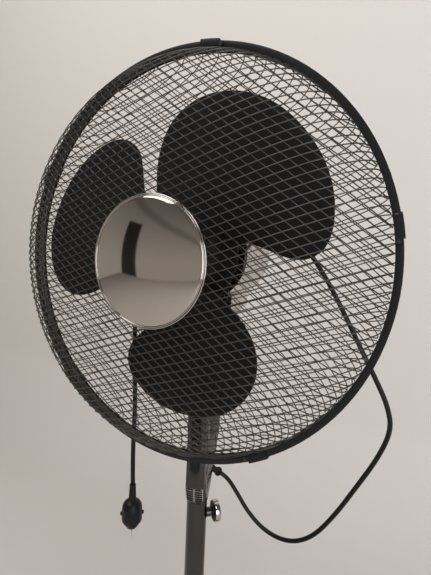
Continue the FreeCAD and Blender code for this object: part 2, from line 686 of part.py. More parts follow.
def tilt_knob():
    """Lobed clamp knob on the tilt bolt's threaded end."""
    start = LUG_HALF_WIDTH + GAP + EAR_THICKNESS + GAP
    knob = rod(TILT_KNOB_RADIUS - 3.0, tilt_point(start + 4.0), X_AXIS, 12.0)
    for index in range(6):
        turn = math.radians(60.0 * index)
        lobe = at(start + 4.0, (TILT_KNOB_RADIUS - 4.5) * math.cos(turn),
                  TILT_HEIGHT + (TILT_KNOB_RADIUS - 4.5) * math.sin(turn))
        knob = knob.fuse(rod(4.5, lobe, X_AXIS, 12.0))
    knob = knob.fuse(rod(8.0, tilt_point(start), X_AXIS, 4.5))
    return knob.cut(rod(TILT_PIN_RADIUS + RUN_FIT, tilt_point(start - 1.0), X_AXIS, 14.0))


def neck():
    """Tilting lug with the upright swing pin and the arm that holds the crank link's fixed pin."""
    lug = rod(LUG_RADIUS, tilt_point(-LUG_HALF_WIDTH), X_AXIS, 2 * LUG_HALF_WIDTH)
    riser = block((-LUG_HALF_WIDTH, -9.0, TILT_HEIGHT), (LUG_HALF_WIDTH, 9.0, NECK_FLANGE_BOTTOM + 1.0))
    bore = rod(TILT_PIN_RADIUS + RUN_FIT, tilt_point(-40.0), X_AXIS, 80.0)
    foot = facing(lug.fuse(riser).cut(bore))
    flange_height = NECK_FLANGE_TOP - NECK_FLANGE_BOTTOM
    flange = rod(NECK_FLANGE_RADIUS, at(0, 0, NECK_FLANGE_BOTTOM), Z_AXIS, flange_height)
    arm = block((-5.0, 0.0, NECK_FLANGE_BOTTOM), (5.0, SWING_ARM + 5.0, NECK_FLANGE_TOP))
    pin_start = NECK_FLANGE_TOP - 1.0
    swing_pin = rod(SWING_PIN_RADIUS, at(0, 0, pin_start), Z_AXIS, SWING_PIN_TOP - pin_start)
    link_pin_length = LINK_BOTTOM + LINK_THICKNESS - pin_start
    link_pin = rod(CRANK_PIN_RADIUS, at(0, SWING_ARM, pin_start), Z_AXIS, link_pin_length)
    return foot.fuse(flange).fuse(arm).fuse(swing_pin).fuse(link_pin)


def motor_mount():
    """Bracket under the motor: the swing pivot's bearing and the crank's gear case."""
    block_top = MOTOR_CENTRE.z - MOTOR_RADIUS + 18.0
    case = block((-14.0, -14.0, MOUNT_BOTTOM), (CRANK_X + 20.0, 40.0, block_top))
    case = case.fuse(rod(14.0, at(0, 0, MOUNT_BOTTOM), Z_AXIS, block_top - MOUNT_BOTTOM))
    motor = motor_rod(MOTOR_RADIUS + GAP, 0.0, 400.0)
    case = case.cut(motor)
    hub = rod(10.5, at(0, 0, NECK_FLANGE_TOP + GAP), Z_AXIS, MOUNT_BOTTOM - NECK_FLANGE_TOP)
    case = case.fuse(hub)
    case = case.cut(rod(SWING_PIN_RADIUS + RUN_FIT, at(0, 0, NECK_FLANGE_TOP - 1.0), Z_AXIS,
                        SWING_PIN_TOP + GAP - NECK_FLANGE_TOP + 1.0))
    shaft_hole = rod(3.0 + RUN_FIT, at(CRANK_X, CRANK_Y, MOUNT_BOTTOM - 1.0), Z_AXIS, 9.5)
    return case.cut(shaft_hole)


def crank_pin_point(height):
    return at(CRANK_X, CRANK_Y + CRANK_THROW, height)


def crank():
    """Crank disc under the gear case, with its shaft up and its pin down."""
    disc = rod(CRANK_RADIUS, at(CRANK_X, CRANK_Y, LINK_BOTTOM + LINK_THICKNESS + 0.5), Z_AXIS, 5.0)
    shaft = rod(3.0, at(CRANK_X, CRANK_Y, LINK_BOTTOM + LINK_THICKNESS + 1.0), Z_AXIS, 13.0)
    pin = rod(CRANK_PIN_RADIUS, crank_pin_point(LINK_BOTTOM - 1.5), Z_AXIS, LINK_THICKNESS + 3.0)
    return disc.fuse(shaft).fuse(pin)


def link_arm():
    """Flat link from the crank's pin to the neck's pin, whose eye there is left loose."""
    crank_end = crank_pin_point(LINK_BOTTOM)
    neck_end = at(0, SWING_ARM + SWING_ARM_EYE_SHIFT, LINK_BOTTOM)
    open_bore = CRANK_PIN_RADIUS + OPEN_EYE_CLEARANCE
    along = neck_end - crank_end
    length = along.Length
    across = at(-along.y, along.x, 0)
    across.normalize()
    corners = [crank_end + across * 3.0, neck_end + across * 3.0, neck_end - across * 3.0,
               crank_end - across * 3.0]
    bar = Part.Face(Part.makePolygon(corners + corners[:1])).extrude(at(0, 0, LINK_THICKNESS))
    link = bar.fuse(rod(5.5, crank_end, Z_AXIS, LINK_THICKNESS))
    link = link.fuse(rod(open_bore + 2.3, neck_end, Z_AXIS, LINK_THICKNESS))
    link = link.cut(rod(CRANK_PIN_RADIUS + RUN_FIT, crank_end - Z_AXIS, Z_AXIS, LINK_THICKNESS + 2.0))
    print("link length", round(length, 2))
    return link.cut(rod(open_bore, neck_end - Z_AXIS, Z_AXIS, LINK_THICKNESS + 2.0))


# ---- motor ---------------------------------------------------------------------------------------
def motor_rear_shell():
    """Bright cover over the motor: a barrel with a rounded back, and a hole for the swing knob."""
    def profile(inset):
        radius = MOTOR_RADIUS - inset
        back = MOTOR_BACK - inset
        shoulder = MOTOR_SHOULDER
        points = []
        for index in range(7):
            turn = math.radians(15.0 * index)
            reach = radius * (0.30 + 0.70 * math.cos(turn)) if index < 6 else radius * 0.30
            points.append((reach, shoulder + (back - shoulder) * math.sin(turn)))
        return points

    outer = profile(0.0)
    inner = profile(MOTOR_SHELL_WALL)
    centre_out = at(MOTOR_CENTRE.x, behind(MOTOR_BACK), MOTOR_CENTRE.z)
    centre_in = at(MOTOR_CENTRE.x, behind(MOTOR_BACK - MOTOR_SHELL_WALL), MOTOR_CENTRE.z)
    outer = [at(MOTOR_CENTRE.x + radius, behind(distance), MOTOR_CENTRE.z) for radius, distance in outer]
    inner = [at(MOTOR_CENTRE.x + radius, behind(distance), MOTOR_CENTRE.z) for radius, distance in inner]
    rim_out = at(MOTOR_CENTRE.x + MOTOR_RADIUS, behind(MOTOR_SEAM), MOTOR_CENTRE.z)
    rim_in = at(MOTOR_CENTRE.x + MOTOR_RADIUS - MOTOR_SHELL_WALL, behind(MOTOR_SEAM), MOTOR_CENTRE.z)
    edges = [
        line_edge(centre_out, outer[-1]), spline_edge(outer), line_edge(outer[0], rim_out),
        line_edge(rim_out, rim_in), line_edge(rim_in, inner[0]), spline_edge(inner),
        line_edge(inner[-1], centre_in), line_edge(centre_in, centre_out),
    ]
    shell = Part.Face(Part.Wire(Part.__sortEdges__(edges))).revolve(MOTOR_CENTRE, Y_AXIS, 360)
    hole_start = at(CRANK_X, CRANK_Y, MOTOR_CENTRE.z)
    hole = rod(SWING_KNOB_STEM_RADIUS + GAP, hole_start, Z_AXIS, MOTOR_RADIUS + 10.0)
    return shell.cut(hole)


def motor_front_shell():
    """Front cover: a face with the bearing seat, a rim, and a threaded nose for the guard nut."""
    reach = MOTOR_RADIUS - 2.0
    face = motor_ring(reach, BEARING_RADIUS + RUN_FIT, MOTOR_FACE, MOTOR_FACE + FRONT_SHELL_WALL + 1.0)
    wall = motor_ring(reach, reach - FRONT_SHELL_WALL, MOTOR_FACE + 1.0, MOTOR_SEAM + 6.0)
    skirt = motor_ring(MOTOR_RADIUS, MOTOR_RADIUS - FRONT_SHELL_WALL, MOTOR_FACE + 3.0, MOTOR_SEAM - GAP)
    nose_outer = REAR_DISH_HOLE - GAP
    nose = motor_ring(nose_outer, nose_outer - 4.0, GUARD_NUT_FRONT + 1.0, MOTOR_FACE + 1.0)
    return face.fuse(wall).fuse(skirt).fuse(nose)


def bearing(front, back):
    return motor_ring(BEARING_RADIUS, SHAFT_RADIUS + RUN_FIT, front, back)


def rear_bracket():
    """Disc inside the rear cover that carries the rear bearing."""
    outer = MOTOR_RADIUS - MOTOR_SHELL_WALL - GAP
    return motor_ring(outer, BEARING_RADIUS + RUN_FIT, BRACKET_FRONT, BRACKET_BACK)


def stator():
    """Laminated ring with six winding bulges at each end."""
    reach = MOTOR_RADIUS - MOTOR_SHELL_WALL - GAP
    core = motor_ring(reach, ROTOR_RADIUS + AIR_GAP, STATOR_FRONT, STATOR_BACK)
    for index in range(6):
        for front in (STATOR_FRONT - 3.0, STATOR_BACK):
            start = head_point(ROTOR_RADIUS + 12.0, 60.0 * index, front, MOTOR_CENTRE)
            core = core.fuse(rod(8.0, start, Y_AXIS, 3.0))
    return core


def rotor_core():
    return motor_ring(ROTOR_RADIUS, SHAFT_RADIUS + 0.02, STATOR_FRONT, STATOR_BACK)


def motor_shaft():
    return motor_rod(SHAFT_RADIUS, SHAFT_FRONT, SHAFT_BACK)


def swing_knob():
    """Mushroom knob that is pulled up to stop the swing."""
    middle = at(CRANK_X, CRANK_Y, 0)
    stem_bottom = SWING_KNOB_BOTTOM - SWING_KNOB_STEM
    stem = rod(SWING_KNOB_STEM_RADIUS, middle + at(0, 0, stem_bottom), Z_AXIS, SWING_KNOB_STEM + 1.0)
    cap = rod(SWING_KNOB_RADIUS, middle + at(0, 0, SWING_KNOB_BOTTOM), Z_AXIS, SWING_KNOB_HEIGHT)
    top = SWING_KNOB_BOTTOM + SWING_KNOB_HEIGHT
    cap = cap.makeFillet(2.5, [edge for edge in cap.Edges if edge.BoundBox.ZMin > top - 0.1])
    return stem.fuse(cap)


# ---- guard ---------------------------------------------------------------------------------------
def dish_point(turn, inset):
    """(radius, depth) on the dish at a superellipse angle, moved inwards along its normal."""
    radial = 2.0 / DISH_RADIAL_POWER
    axial = 2.0 / DISH_DEPTH_POWER
    swell = DISH_DEPTH - DISH_START
    radius = DISH_RADIUS * math.cos(turn) ** radial
    depth = DISH_START + swell * math.sin(turn) ** axial
    if turn <= 0.0:
        return radius - inset, depth
    along_r = -DISH_RADIUS * radial * math.cos(turn) ** (radial - 1.0) * math.sin(turn)
    along_d = swell * axial * math.sin(turn) ** (axial - 1.0) * math.cos(turn)
    size = math.hypot(along_r, along_d)
    return radius - inset * along_d / size, depth + inset * along_r / size


def dish(side, hole):
    """One half of the guard as a thin dish: side is -1 in front of the band and +1 behind it."""
    hole_turn = math.acos((hole / DISH_RADIUS) ** (DISH_RADIAL_POWER / 2.0))
    steps = (0, 3, 8, 15, 24, 34, 45, 56, 66, 75, 82, 85.5, 88, 89.3)
    turns = [math.radians(step) for step in steps] + [hole_turn]
    faces = []
    for inset in (0.0, DISH_WALL):
        faces.append([])
        for turn in turns:
            radius, depth = dish_point(turn, inset)
            faces[-1].append(at(HEAD_OFFSET + radius, behind(side * depth), HEAD_HEIGHT))
    outer, inner = faces
    edges = [spline_edge(outer), line_edge(outer[-1], inner[-1])]
    edges += [spline_edge(inner), line_edge(inner[0], outer[0])]
    return Part.Face(Part.Wire(Part.__sortEdges__(edges))).revolve(HEAD_CENTRE, Y_AXIS, 360)


def rim_ring(side):
    """The stout edge wire of one guard half."""
    return Part.makeTorus(RIM_RING_RADIUS, RIM_WIRE_RADIUS, on_axis(side * RIM_RING_PLANE), Y_AXIS)


def clip_angles():
    return [CLIP_FIRST_ANGLE + 360.0 / CLIP_COUNT * index for index in range(CLIP_COUNT)]


def clip_pivot(angle, distance):
    return head_point(CLIP_PIN_REACH, angle - CLIP_PIVOT_LEAD, distance)


def arc_block(inner, outer, first, last, front, back):
    """A piece of a ring around the fan's axis between two angles."""
    full = head_ring(outer, inner, front, back)
    far = outer * 1.2
    corners = [head_point(0.0, 0.0, front - 1.0), head_point(far, first, front - 1.0),
               head_point(far, last, front - 1.0)]
    wedge = Part.Face(Part.makePolygon(corners + corners[:1])).extrude(at(0, back - front + 2.0, 0))
    return full.common(wedge)


def guard_band():
    """The channel ring that joins both guard halves, drilled for the clips' rivets."""
    half = BAND_HALF_WIDTH
    flange_inner = BAND_RADIUS - BAND_WALL - BAND_FLANGE_DEPTH
    profile = [
        (BAND_RADIUS, -half), (BAND_RADIUS, half), (flange_inner, half), (flange_inner, half - BAND_FLANGE),
        (BAND_RADIUS - BAND_WALL, half - BAND_FLANGE), (BAND_RADIUS - BAND_WALL, BAND_FLANGE - half),
        (flange_inner, BAND_FLANGE - half), (flange_inner, -half),
    ]
    band = head_turned(profile)
    for angle in clip_angles():
        for side in (-1, 1):
            hole_start = clip_pivot(angle, side * (half + 1.0))
            band = band.cut(rod(CLIP_PIN_RADIUS + RUN_FIT, hole_start, Y_AXIS * -side, BAND_FLANGE + 1.2))
    return band


def cheek_plane():
    """Distance of a cheek's inner face from the band's middle."""
    return BAND_HALF_WIDTH + GAP


def guard_clip(angle):
    """A folded latch that straddles the band: a back plate, and a cheek on each side with its pivot."""
    inner = BAND_RADIUS + CLIP_LIFT
    outside = cheek_plane() + CLIP_CHEEK
    clip = arc_block(inner, inner + CLIP_THICKNESS, -CLIP_HALF_SPAN, CLIP_HALF_SPAN, -outside, outside)
    for front in (-outside, cheek_plane()):
        back = front + CLIP_CHEEK
        cheek = arc_block(CLIP_CHEEK_REACH, inner + 0.2, -CLIP_HALF_SPAN, CLIP_HALF_SPAN, front, back)
        tail_end = 0.1 - CLIP_HALF_SPAN
        tail = arc_block(CLIP_CHEEK_REACH, BAND_RADIUS - 1.0, -CLIP_PIVOT_LEAD, tail_end, front, back)
        eye = rod(CLIP_EYE_RADIUS, clip_pivot(0.0, front), Y_AXIS, CLIP_CHEEK)
        clip = clip.fuse(cheek).fuse(tail).fuse(eye)
    clip = clip.cut(rod(CLIP_PIN_RADIUS + RUN_FIT, clip_pivot(0.0, -20.0), Y_AXIS, 40.0))
    clip.rotate(HEAD_CENTRE, Y_AXIS, -angle)
    return clip


def clip_pins():
    """A rivet on each side of every clip, in the band's flanges."""
    inside = BAND_HALF_WIDTH - BAND_FLANGE
    head = cheek_plane() + CLIP_CHEEK + 0.1
    rivets = []
    for angle in clip_angles():
        for direction in (-Y_AXIS, Y_AXIS):
            start = clip_pivot(angle, 0.0) + direction * inside
            rivet = rod(CLIP_PIN_RADIUS, start, direction, head - inside + 0.2)
            head_start = clip_pivot(angle, 0.0) + direction * head
            rivets.append(rivet.fuse(rod(CLIP_PIN_HEAD, head_start, direction, 0.8)))
    return Part.makeCompound(rivets)


def rear_guard_nut():
    """Ring nut with finger lobes that clamps the rear guard to the motor's nose."""
    thread = REAR_DISH_HOLE
    back = DISH_INSIDE - GAP
    nut = motor_ring(GUARD_NUT_RADIUS, thread, GUARD_NUT_FRONT, back)
    for index in range(12):
        scallop = head_point(GUARD_NUT_RADIUS + 2.5, 30.0 * index, GUARD_NUT_FRONT - 1.0, MOTOR_CENTRE)
        nut = nut.cut(rod(5.0, scallop, Y_AXIS, back - GUARD_NUT_FRONT + 2.0))
    return nut


def centre_badge():
    """Domed bright disc with a rolled rim on the front guard's middle."""
    back = -(DISH_DEPTH + 0.4)
    rim_radius = BADGE_RADIUS - BADGE_RIM / 2.0
    cap_radius = rim_radius
    sphere = (cap_radius ** 2 + BADGE_RISE ** 2) / (2.0 * BADGE_RISE)
    front = back - BADGE_RIM - BADGE_RISE + 1.2
    middle = HEAD_CENTRE - Z_AXIS * BADGE_DROP
    centre = on_axis(front + sphere, middle)
    solid = Part.makeSphere(sphere, centre).cut(Part.makeSphere(sphere - BADGE_WALL, centre))
    cap = solid.common(head_rod(cap_radius, front - 1.0, front + BADGE_RISE, middle))
    rim = Part.makeTorus(rim_radius, BADGE_RIM / 2.0, on_axis(back - BADGE_RIM / 2.0, middle), Y_AXIS)
    return cap.fuse(rim)


def badge_backing():
    """Disc behind the mesh that the badge is fastened to, through the front guard's hole."""
    front = -DISH_INSIDE + GAP
    disc = head_rod(BACKING_RADIUS, front, front + BACKING_THICKNESS)
    post_front = -(DISH_DEPTH + 0.4) - BADGE_RIM - BADGE_RISE + 1.2 + BADGE_WALL + 2.0
    return disc.fuse(head_ring(FRONT_DISH_HOLE - 1.0, 4.0, post_front, front + 0.5))


# ---- rotor ---------------------------------------------------------------------------------------
def blade_depth(degrees):
    """How far behind the band's middle a blade lies at an angle from its leading corner."""
    share = degrees / BLADE_SPAN
    return BLADE_BACK_PLANE - BLADE_RISE * share + BLADE_CAMBER * math.sin(math.pi * share)


def blade_surface():
    """The twisted sheet that one blade is cut from, a little larger than its outline."""
    grid = []
    for step in range(13):
        degrees = -12.0 + (BLADE_SPAN + 24.0) * step / 12.0
        depth = blade_depth(min(max(degrees, -12.0), BLADE_SPAN + 12.0))
        radii = (12.0, 60.0, 110.0, 160.0, BLADE_RADIUS + 8.0)
        grid.append([head_point(radius, BLADE_REST_ANGLE + degrees, depth, MOTOR_CENTRE)
                     for radius in radii])
    surface = Part.BSplineSurface()
    surface.interpolate(grid)
    return surface.toShape()


def blade_sheet():
    sheet = blade_surface().extrude(Y_AXIS * BLADE_THICKNESS)
    points = [head_point(radius * BLADE_RADIUS / 182.0, BLADE_REST_ANGLE + degrees, -90.0, MOTOR_CENTRE)
              for radius, degrees in BLADE_OUTLINE]
    curve = Part.BSplineCurve()
    curve.interpolate(points, PeriodicFlag=True)
    outline = Part.Face(Part.Wire([curve.toShape()]))
    return sheet.common(outline.extrude(Y_AXIS * 180.0))


def hub():
    """Cup with a flange round its open back and a boss for the shaft."""
    cup = motor_rod(HUB_RADIUS, HUB_FRONT, HUB_BACK)
    cup = cup.cut(motor_rod(HUB_RADIUS - HUB_WALL, HUB_FRONT + HUB_WALL, HUB_BACK + 1.0))
    flange = motor_ring(HUB_FLANGE_RADIUS, HUB_RADIUS - HUB_WALL, HUB_BACK - HUB_WALL, HUB_BACK)
    boss = motor_rod(HUB_BOSS_RADIUS, HUB_FRONT, HUB_BACK - 8.0)
    return cup.fuse(flange).fuse(boss)


def blade():
    """Hub and three blades, moulded in one."""
    first = blade_sheet().cut(motor_rod(HUB_RADIUS - HUB_WALL / 2.0, -90.0, 90.0))
    body = hub()
    for index in range(BLADE_COUNT):
        copy = first.copy()
        copy.rotate(MOTOR_CENTRE, Y_AXIS, -360.0 / BLADE_COUNT * index)
        body = body.fuse(copy)
    return body.cut(motor_rod(SHAFT_RADIUS + RUN_FIT, HUB_FRONT - 10.0, HUB_BACK + 10.0))


def blade_nut():
    nut = motor_ring(BLADE_NUT_RADIUS, SHAFT_RADIUS + RUN_FIT, SHAFT_FRONT, HUB_FRONT - GAP)
    nose = Part.makeCone(BLADE_NUT_RADIUS, BLADE_NUT_RADIUS - 4.0, SHAFT_FRONT - BLADE_NUT_FRONT,
                         on_axis(SHAFT_FRONT, MOTOR_CENTRE), Y_AXIS * -1.0)
    body = nut.fuse(nose)
    return body.cut(motor_rod(SHAFT_RADIUS + RUN_FIT, SHAFT_FRONT - GAP, HUB_FRONT))


# ---- cord ----------------------------------------------------------------------------------------
def cord_tube(name, route):
    """Round tube of straight runs joined by tangent arcs along a route of hand-chosen points."""
    points = [FreeCAD.Vector(*point) for point in route]
    edges = []
    radii = []
    last = points[0]
    for index in range(1, len(points) - 1):
        corner = points[index]
        back = points[index - 1] - corner
        ahead = points[index + 1] - corner
        reach = 0.45 * min(back.Length, ahead.Length)
        back.normalize()
        ahead.normalize()
        turn = math.pi - back.getAngle(ahead)
        radius = reach / math.tan(turn / 2.0)
        radii.append(round(radius, 1))
        arc_start = corner + back * reach
        arc_end = corner + ahead * reach
        inward = back + ahead
        inward.normalize()
        middle = corner + inward * (radius / math.cos(turn / 2.0) - radius)
        edges.append(line_edge(last, arc_start))
        edges.append(Part.Arc(arc_start, middle, arc_end).toShape())
        last = arc_end
    edges.append(line_edge(last, points[-1]))
    path = Part.Wire(edges)
    start_direction = points[1] - points[0]
    section = Part.Wire(Part.makeCircle(CORD_RADIUS, points[0], start_direction))
    tube = path.makePipeShell([section], True, False)
    expected = math.pi * CORD_RADIUS ** 2 * path.Length
    print(name, "length", round(path.Length, 1), "smallest radius", min(radii), "radii", radii,
          "volume ratio", round(tube.Volume / expected, 4))
    return tube


def plug():
    """Round two-pin mains plug hanging from the cord's end, with a boot and a lug on each side."""
    top = FreeCAD.Vector(*CORD_UPPER[-1])
    outline = [(0.0, 0.0)] + [(radius, depth) for depth, radius in PLUG_PROFILE]
    outline.append((0.0, PLUG_PROFILE[-1][0]))
    corners = [at(top.x + radius, top.y, top.z - depth) for radius, depth in outline]
    body = Part.Face(Part.makePolygon(corners + corners[:1])).revolve(top, Z_AXIS, 360)
    grip = block((-PLUG_GRIP_REACH, -4.0, -47.0), (PLUG_GRIP_REACH, 4.0, -41.0))
    grip.rotate(ORIGIN, Z_AXIS, PLUG_PIN_TURN - 90.0)
    grip.translate(top)
    return body.fuse(grip).cut(plug_pin_shapes(0.02))


def plug_pin_shapes(grow):
    """The two flat pins, let 6 mm into the plug, made larger by grow on every side."""
    top = FreeCAD.Vector(*CORD_UPPER[-1])
    face = -PLUG_PROFILE[-1][0]
    pins = []
    for side in (-0.5, 0.5):
        middle = side * PLUG_PIN_SPACING
        half_thickness = PLUG_PIN_THICKNESS / 2.0 + grow
        half_width = PLUG_PIN_WIDTH / 2.0 + grow
        pin = block((middle - half_width, -half_thickness, face - PLUG_PIN_LENGTH),
                    (middle + half_width, half_thickness, face + 6.0 + grow))
        pin.rotate(ORIGIN, Z_AXIS, PLUG_PIN_TURN)
        pin.translate(top)
        pins.append(pin)
    return Part.makeCompound(pins)


# pieces drawn in the housing's own directions
TURNED_PIECES = [
    "housing_front", "housing_rear", "housing_screws", "button_panel", "ribbed_insert", "switch_block",
    "pole_head", "tilt_bolt", "tilt_knob", "button_0", "button_1", "button_2", "button_3",
]


def main():
    os.makedirs("parts", exist_ok=True)
    pieces = {
        "foot_ring": foot_ring(), "base_weight": base_weight(), "base_cover": base_cover(),
        "base_bolt": base_bolt(), "tube_plug": tube_plug(), "column_socket": column_socket(),
        "outer_tube": outer_tube(), "tube_bush": tube_bush(), "height_knob": height_knob(),
        "inner_tube": inner_tube(), "pole_guide": pole_guide(), "pole_sleeve": pole_sleeve(),
        "housing_front": housing_front(), "housing_rear": housing_rear(), "housing_screws": housing_screws(),
        "button_panel": button_panel(), "ribbed_insert": ribbed_insert(), "switch_block": switch_block(),
        "strain_relief": strain_relief(), "pole_head": pole_head(), "tilt_bolt": tilt_bolt(),
        "tilt_knob": tilt_knob(), "neck": neck(), "motor_mount": motor_mount(), "crank": crank(),
        "link_arm": link_arm(), "swing_knob": swing_knob(), "motor_front_shell": motor_front_shell(),
        "motor_rear_shell": motor_rear_shell(), "rear_bracket": rear_bracket(), "stator": stator(),
        "rotor_core": rotor_core(), "motor_shaft": motor_shaft(),
        "front_bearing": bearing(MOTOR_FACE, MOTOR_FACE + 8.0),
        "rear_bearing": bearing(BRACKET_FRONT - 3.0, BRACKET_BACK + 3.0),
        "blade": blade(), "blade_nut": blade_nut(), "rear_guard_nut": rear_guard_nut(),
        "front_guard_mesh": dish(-1, FRONT_DISH_HOLE),
        "rear_guard_mesh": dish(1, FRONT_DISH_HOLE).cut(motor_rod(REAR_DISH_HOLE, 40.0, 80.0)),
        "front_guard_rim": rim_ring(-1), "rear_guard_rim": rim_ring(1),
        "guard_band": guard_band(), "clip_pins": clip_pins(), "centre_badge": centre_badge(),
        "badge_backing": badge_backing(), "plug": plug(), "plug_pins": plug_pin_shapes(0.0),
        "power_cord_lower": cord_tube("lower cord", CORD_LOWER),
        "power_cord_middle": cord_tube("middle cord", CORD_MIDDLE),
        "power_cord_upper": cord_tube("upper cord", CORD_UPPER),
    }
    for index, height in enumerate(button_heights()):
        pieces["button_" + str(index)] = button(height)
    for name in TURNED_PIECES:
        pieces[name] = facing(pieces[name])
    for index, angle in enumerate(clip_angles()):
        pieces["guard_clip_" + str(index + 1)] = guard_clip(angle)
    for name, shape in pieces.items():
        save(name, shape)
    print(len(pieces), "pieces")


main()
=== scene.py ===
"""The looks of a pedestal fan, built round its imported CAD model.

Metres, in the CAD model's own frame: the origin is on the column's axis at the floor, +Z is up and
the fan blows towards -Y.
"""
import math

import bmesh
import bpy
from bpy.props import FloatProperty, FloatVectorProperty, IntProperty, PointerProperty
from mathutils import Matrix, Vector


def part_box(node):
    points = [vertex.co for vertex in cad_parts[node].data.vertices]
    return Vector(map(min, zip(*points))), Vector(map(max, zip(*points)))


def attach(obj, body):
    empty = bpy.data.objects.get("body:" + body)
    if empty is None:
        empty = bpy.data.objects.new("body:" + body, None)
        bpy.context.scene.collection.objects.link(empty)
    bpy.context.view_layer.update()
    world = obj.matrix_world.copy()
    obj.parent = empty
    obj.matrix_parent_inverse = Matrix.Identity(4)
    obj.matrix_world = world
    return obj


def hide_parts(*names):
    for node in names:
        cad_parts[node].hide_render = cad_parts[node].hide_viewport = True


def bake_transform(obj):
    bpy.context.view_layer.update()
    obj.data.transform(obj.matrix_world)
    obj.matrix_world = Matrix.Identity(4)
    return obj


bl_info = {
    "name": "Pedestal Fan",
    "version": (1, 0, 0),
    "blender": (4, 5, 0),
    "location": "View3D > Sidebar > Fan",
    "description": "Builds a pedestal fan's woven guard, cord, trim and finishes round its packed model",
    "category": "Add Mesh",
}

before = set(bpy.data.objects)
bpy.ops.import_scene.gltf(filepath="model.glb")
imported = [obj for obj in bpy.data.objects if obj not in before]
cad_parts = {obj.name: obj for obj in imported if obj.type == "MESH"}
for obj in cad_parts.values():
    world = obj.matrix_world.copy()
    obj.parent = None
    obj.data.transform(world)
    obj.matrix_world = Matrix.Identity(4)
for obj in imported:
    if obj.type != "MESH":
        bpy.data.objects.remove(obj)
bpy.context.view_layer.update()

RIM_LOW, RIM_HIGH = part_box("front_guard_rim")
DISH_LOW, DISH_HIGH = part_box("front_guard_mesh")
REAR_DISH_LOW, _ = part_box("rear_guard_mesh")
HEAD_CENTRE = Vector(((RIM_LOW.x + RIM_HIGH.x) / 2, (DISH_HIGH.y + REAR_DISH_LOW.y) / 2,
                      (RIM_LOW.z + RIM_HIGH.z) / 2))
MOTOR_LOW, MOTOR_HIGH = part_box("motor_rear_shell")
MOTOR_CENTRE = (MOTOR_LOW + MOTOR_HIGH) / 2
BADGE_LOW, BADGE_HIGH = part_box("centre_badge")
DISH_RADIUS = (DISH_HIGH.x - DISH_LOW.x) / 2
DISH_DEPTH = HEAD_CENTRE.y - DISH_LOW.y
RIM_PLANE = HEAD_CENTRE.y - DISH_HIGH.y

# The control housing faces this far to the right of the head
HOUSING_TURN = math.radians(14.0)

# The cord's route: from the gland, round the guard's right side, over the motor and down to the plug
CORD_EXIT = (0.0117, 0.045, 0.5475)
CORD_LOWER = [
    CORD_EXIT, (0.0172, 0.0614, 0.5339), (0.030, 0.070, 0.511), (0.052, 0.075, 0.477), (0.082, 0.078, 0.454),
    (0.118, 0.080, 0.450), (0.151, 0.080, 0.471), (0.180, 0.079, 0.516), (0.193, 0.0775, 0.542),
]
CORD_MIDDLE = [
    (0.193, 0.0775, 0.542), (0.206, 0.076, 0.568), (0.230, 0.070, 0.618), (0.244, 0.065, 0.662),
    (0.237, 0.062, 0.694), (0.222, 0.060, 0.724), (0.211, 0.060, 0.7435),
]
CORD_UPPER = [
    (0.211, 0.060, 0.7435), (0.200, 0.060, 0.763), (0.177, 0.061, 0.805), (0.151, 0.060, 0.850),
    (0.122, 0.057, 0.891), (0.090, 0.052, 0.923), (0.052, 0.046, 0.941), (0.012, 0.035, 0.944),
    (-0.028, 0.014, 0.936), (-0.060, -0.013, 0.908), (-0.080, -0.031, 0.864), (-0.089, -0.038, 0.802),
    (-0.090, -0.038, 0.733), (-0.0865, -0.0365, 0.660), (-0.088, -0.038, 0.590), (-0.087, -0.037, 0.540),
]
GLAND_DIRECTION = Vector((0.249, 0.747, -0.617)).normalized()


# ---- settings ------------------------------------------------------------------------------------
def colour_setting(name, description, default):
    return FloatVectorProperty(name=name, description=description, subtype="COLOR", size=3, min=0.0, max=1.0,
                               default=default)


def length_setting(name, description, default, low, high):
    return FloatProperty(name=name, description=description, default=default, min=low, max=high,
                         unit="LENGTH")


def slope_setting(name, description, degrees):
    return FloatProperty(name=name, description=description, default=math.radians(degrees), subtype="ANGLE")


def power_setting(name, description, default):
    return FloatProperty(name=name, description=description, default=default, min=0.0, unit="POWER")


class FanGuardSettings(bpy.types.PropertyGroup):
    """Sizes of the woven wire in both halves of the guard."""
    wire_pitch: length_setting("Wire pitch", "Distance between neighbouring wires of one layer",
                               default=0.008, low=0.003, high=0.03)
    wire_radius: length_setting("Wire radius", "Half the thickness of a wire",
                                default=0.00058, low=0.0002, high=0.003)
    rising_angle: slope_setting("Rising layer", "Slope of the layer that climbs to the right", 19.0)
    falling_angle: slope_setting("Falling layer", "Slope of the layer that drops to the right", -37.5)
    shoulder_power: FloatProperty(name="Shoulder power", description="How square the dish's shoulder is",
                                  default=6.0, min=2.0, max=12.0)
    face_power: FloatProperty(name="Face power", description="How flat the dish's face is",
                              default=1.6, min=1.0, max=4.0)
    sides: IntProperty(name="Wire sides", description="Faces round each wire", default=5, min=3, max=12)


class FanCordSettings(bpy.types.PropertyGroup):
    """Size of the power cord."""
    radius: length_setting("Cord radius", "Half the cord's thickness", default=0.0032, low=0.001, high=0.01)
    sides: IntProperty(name="Cord sides", description="Faces round the cord", default=18, min=6, max=48)


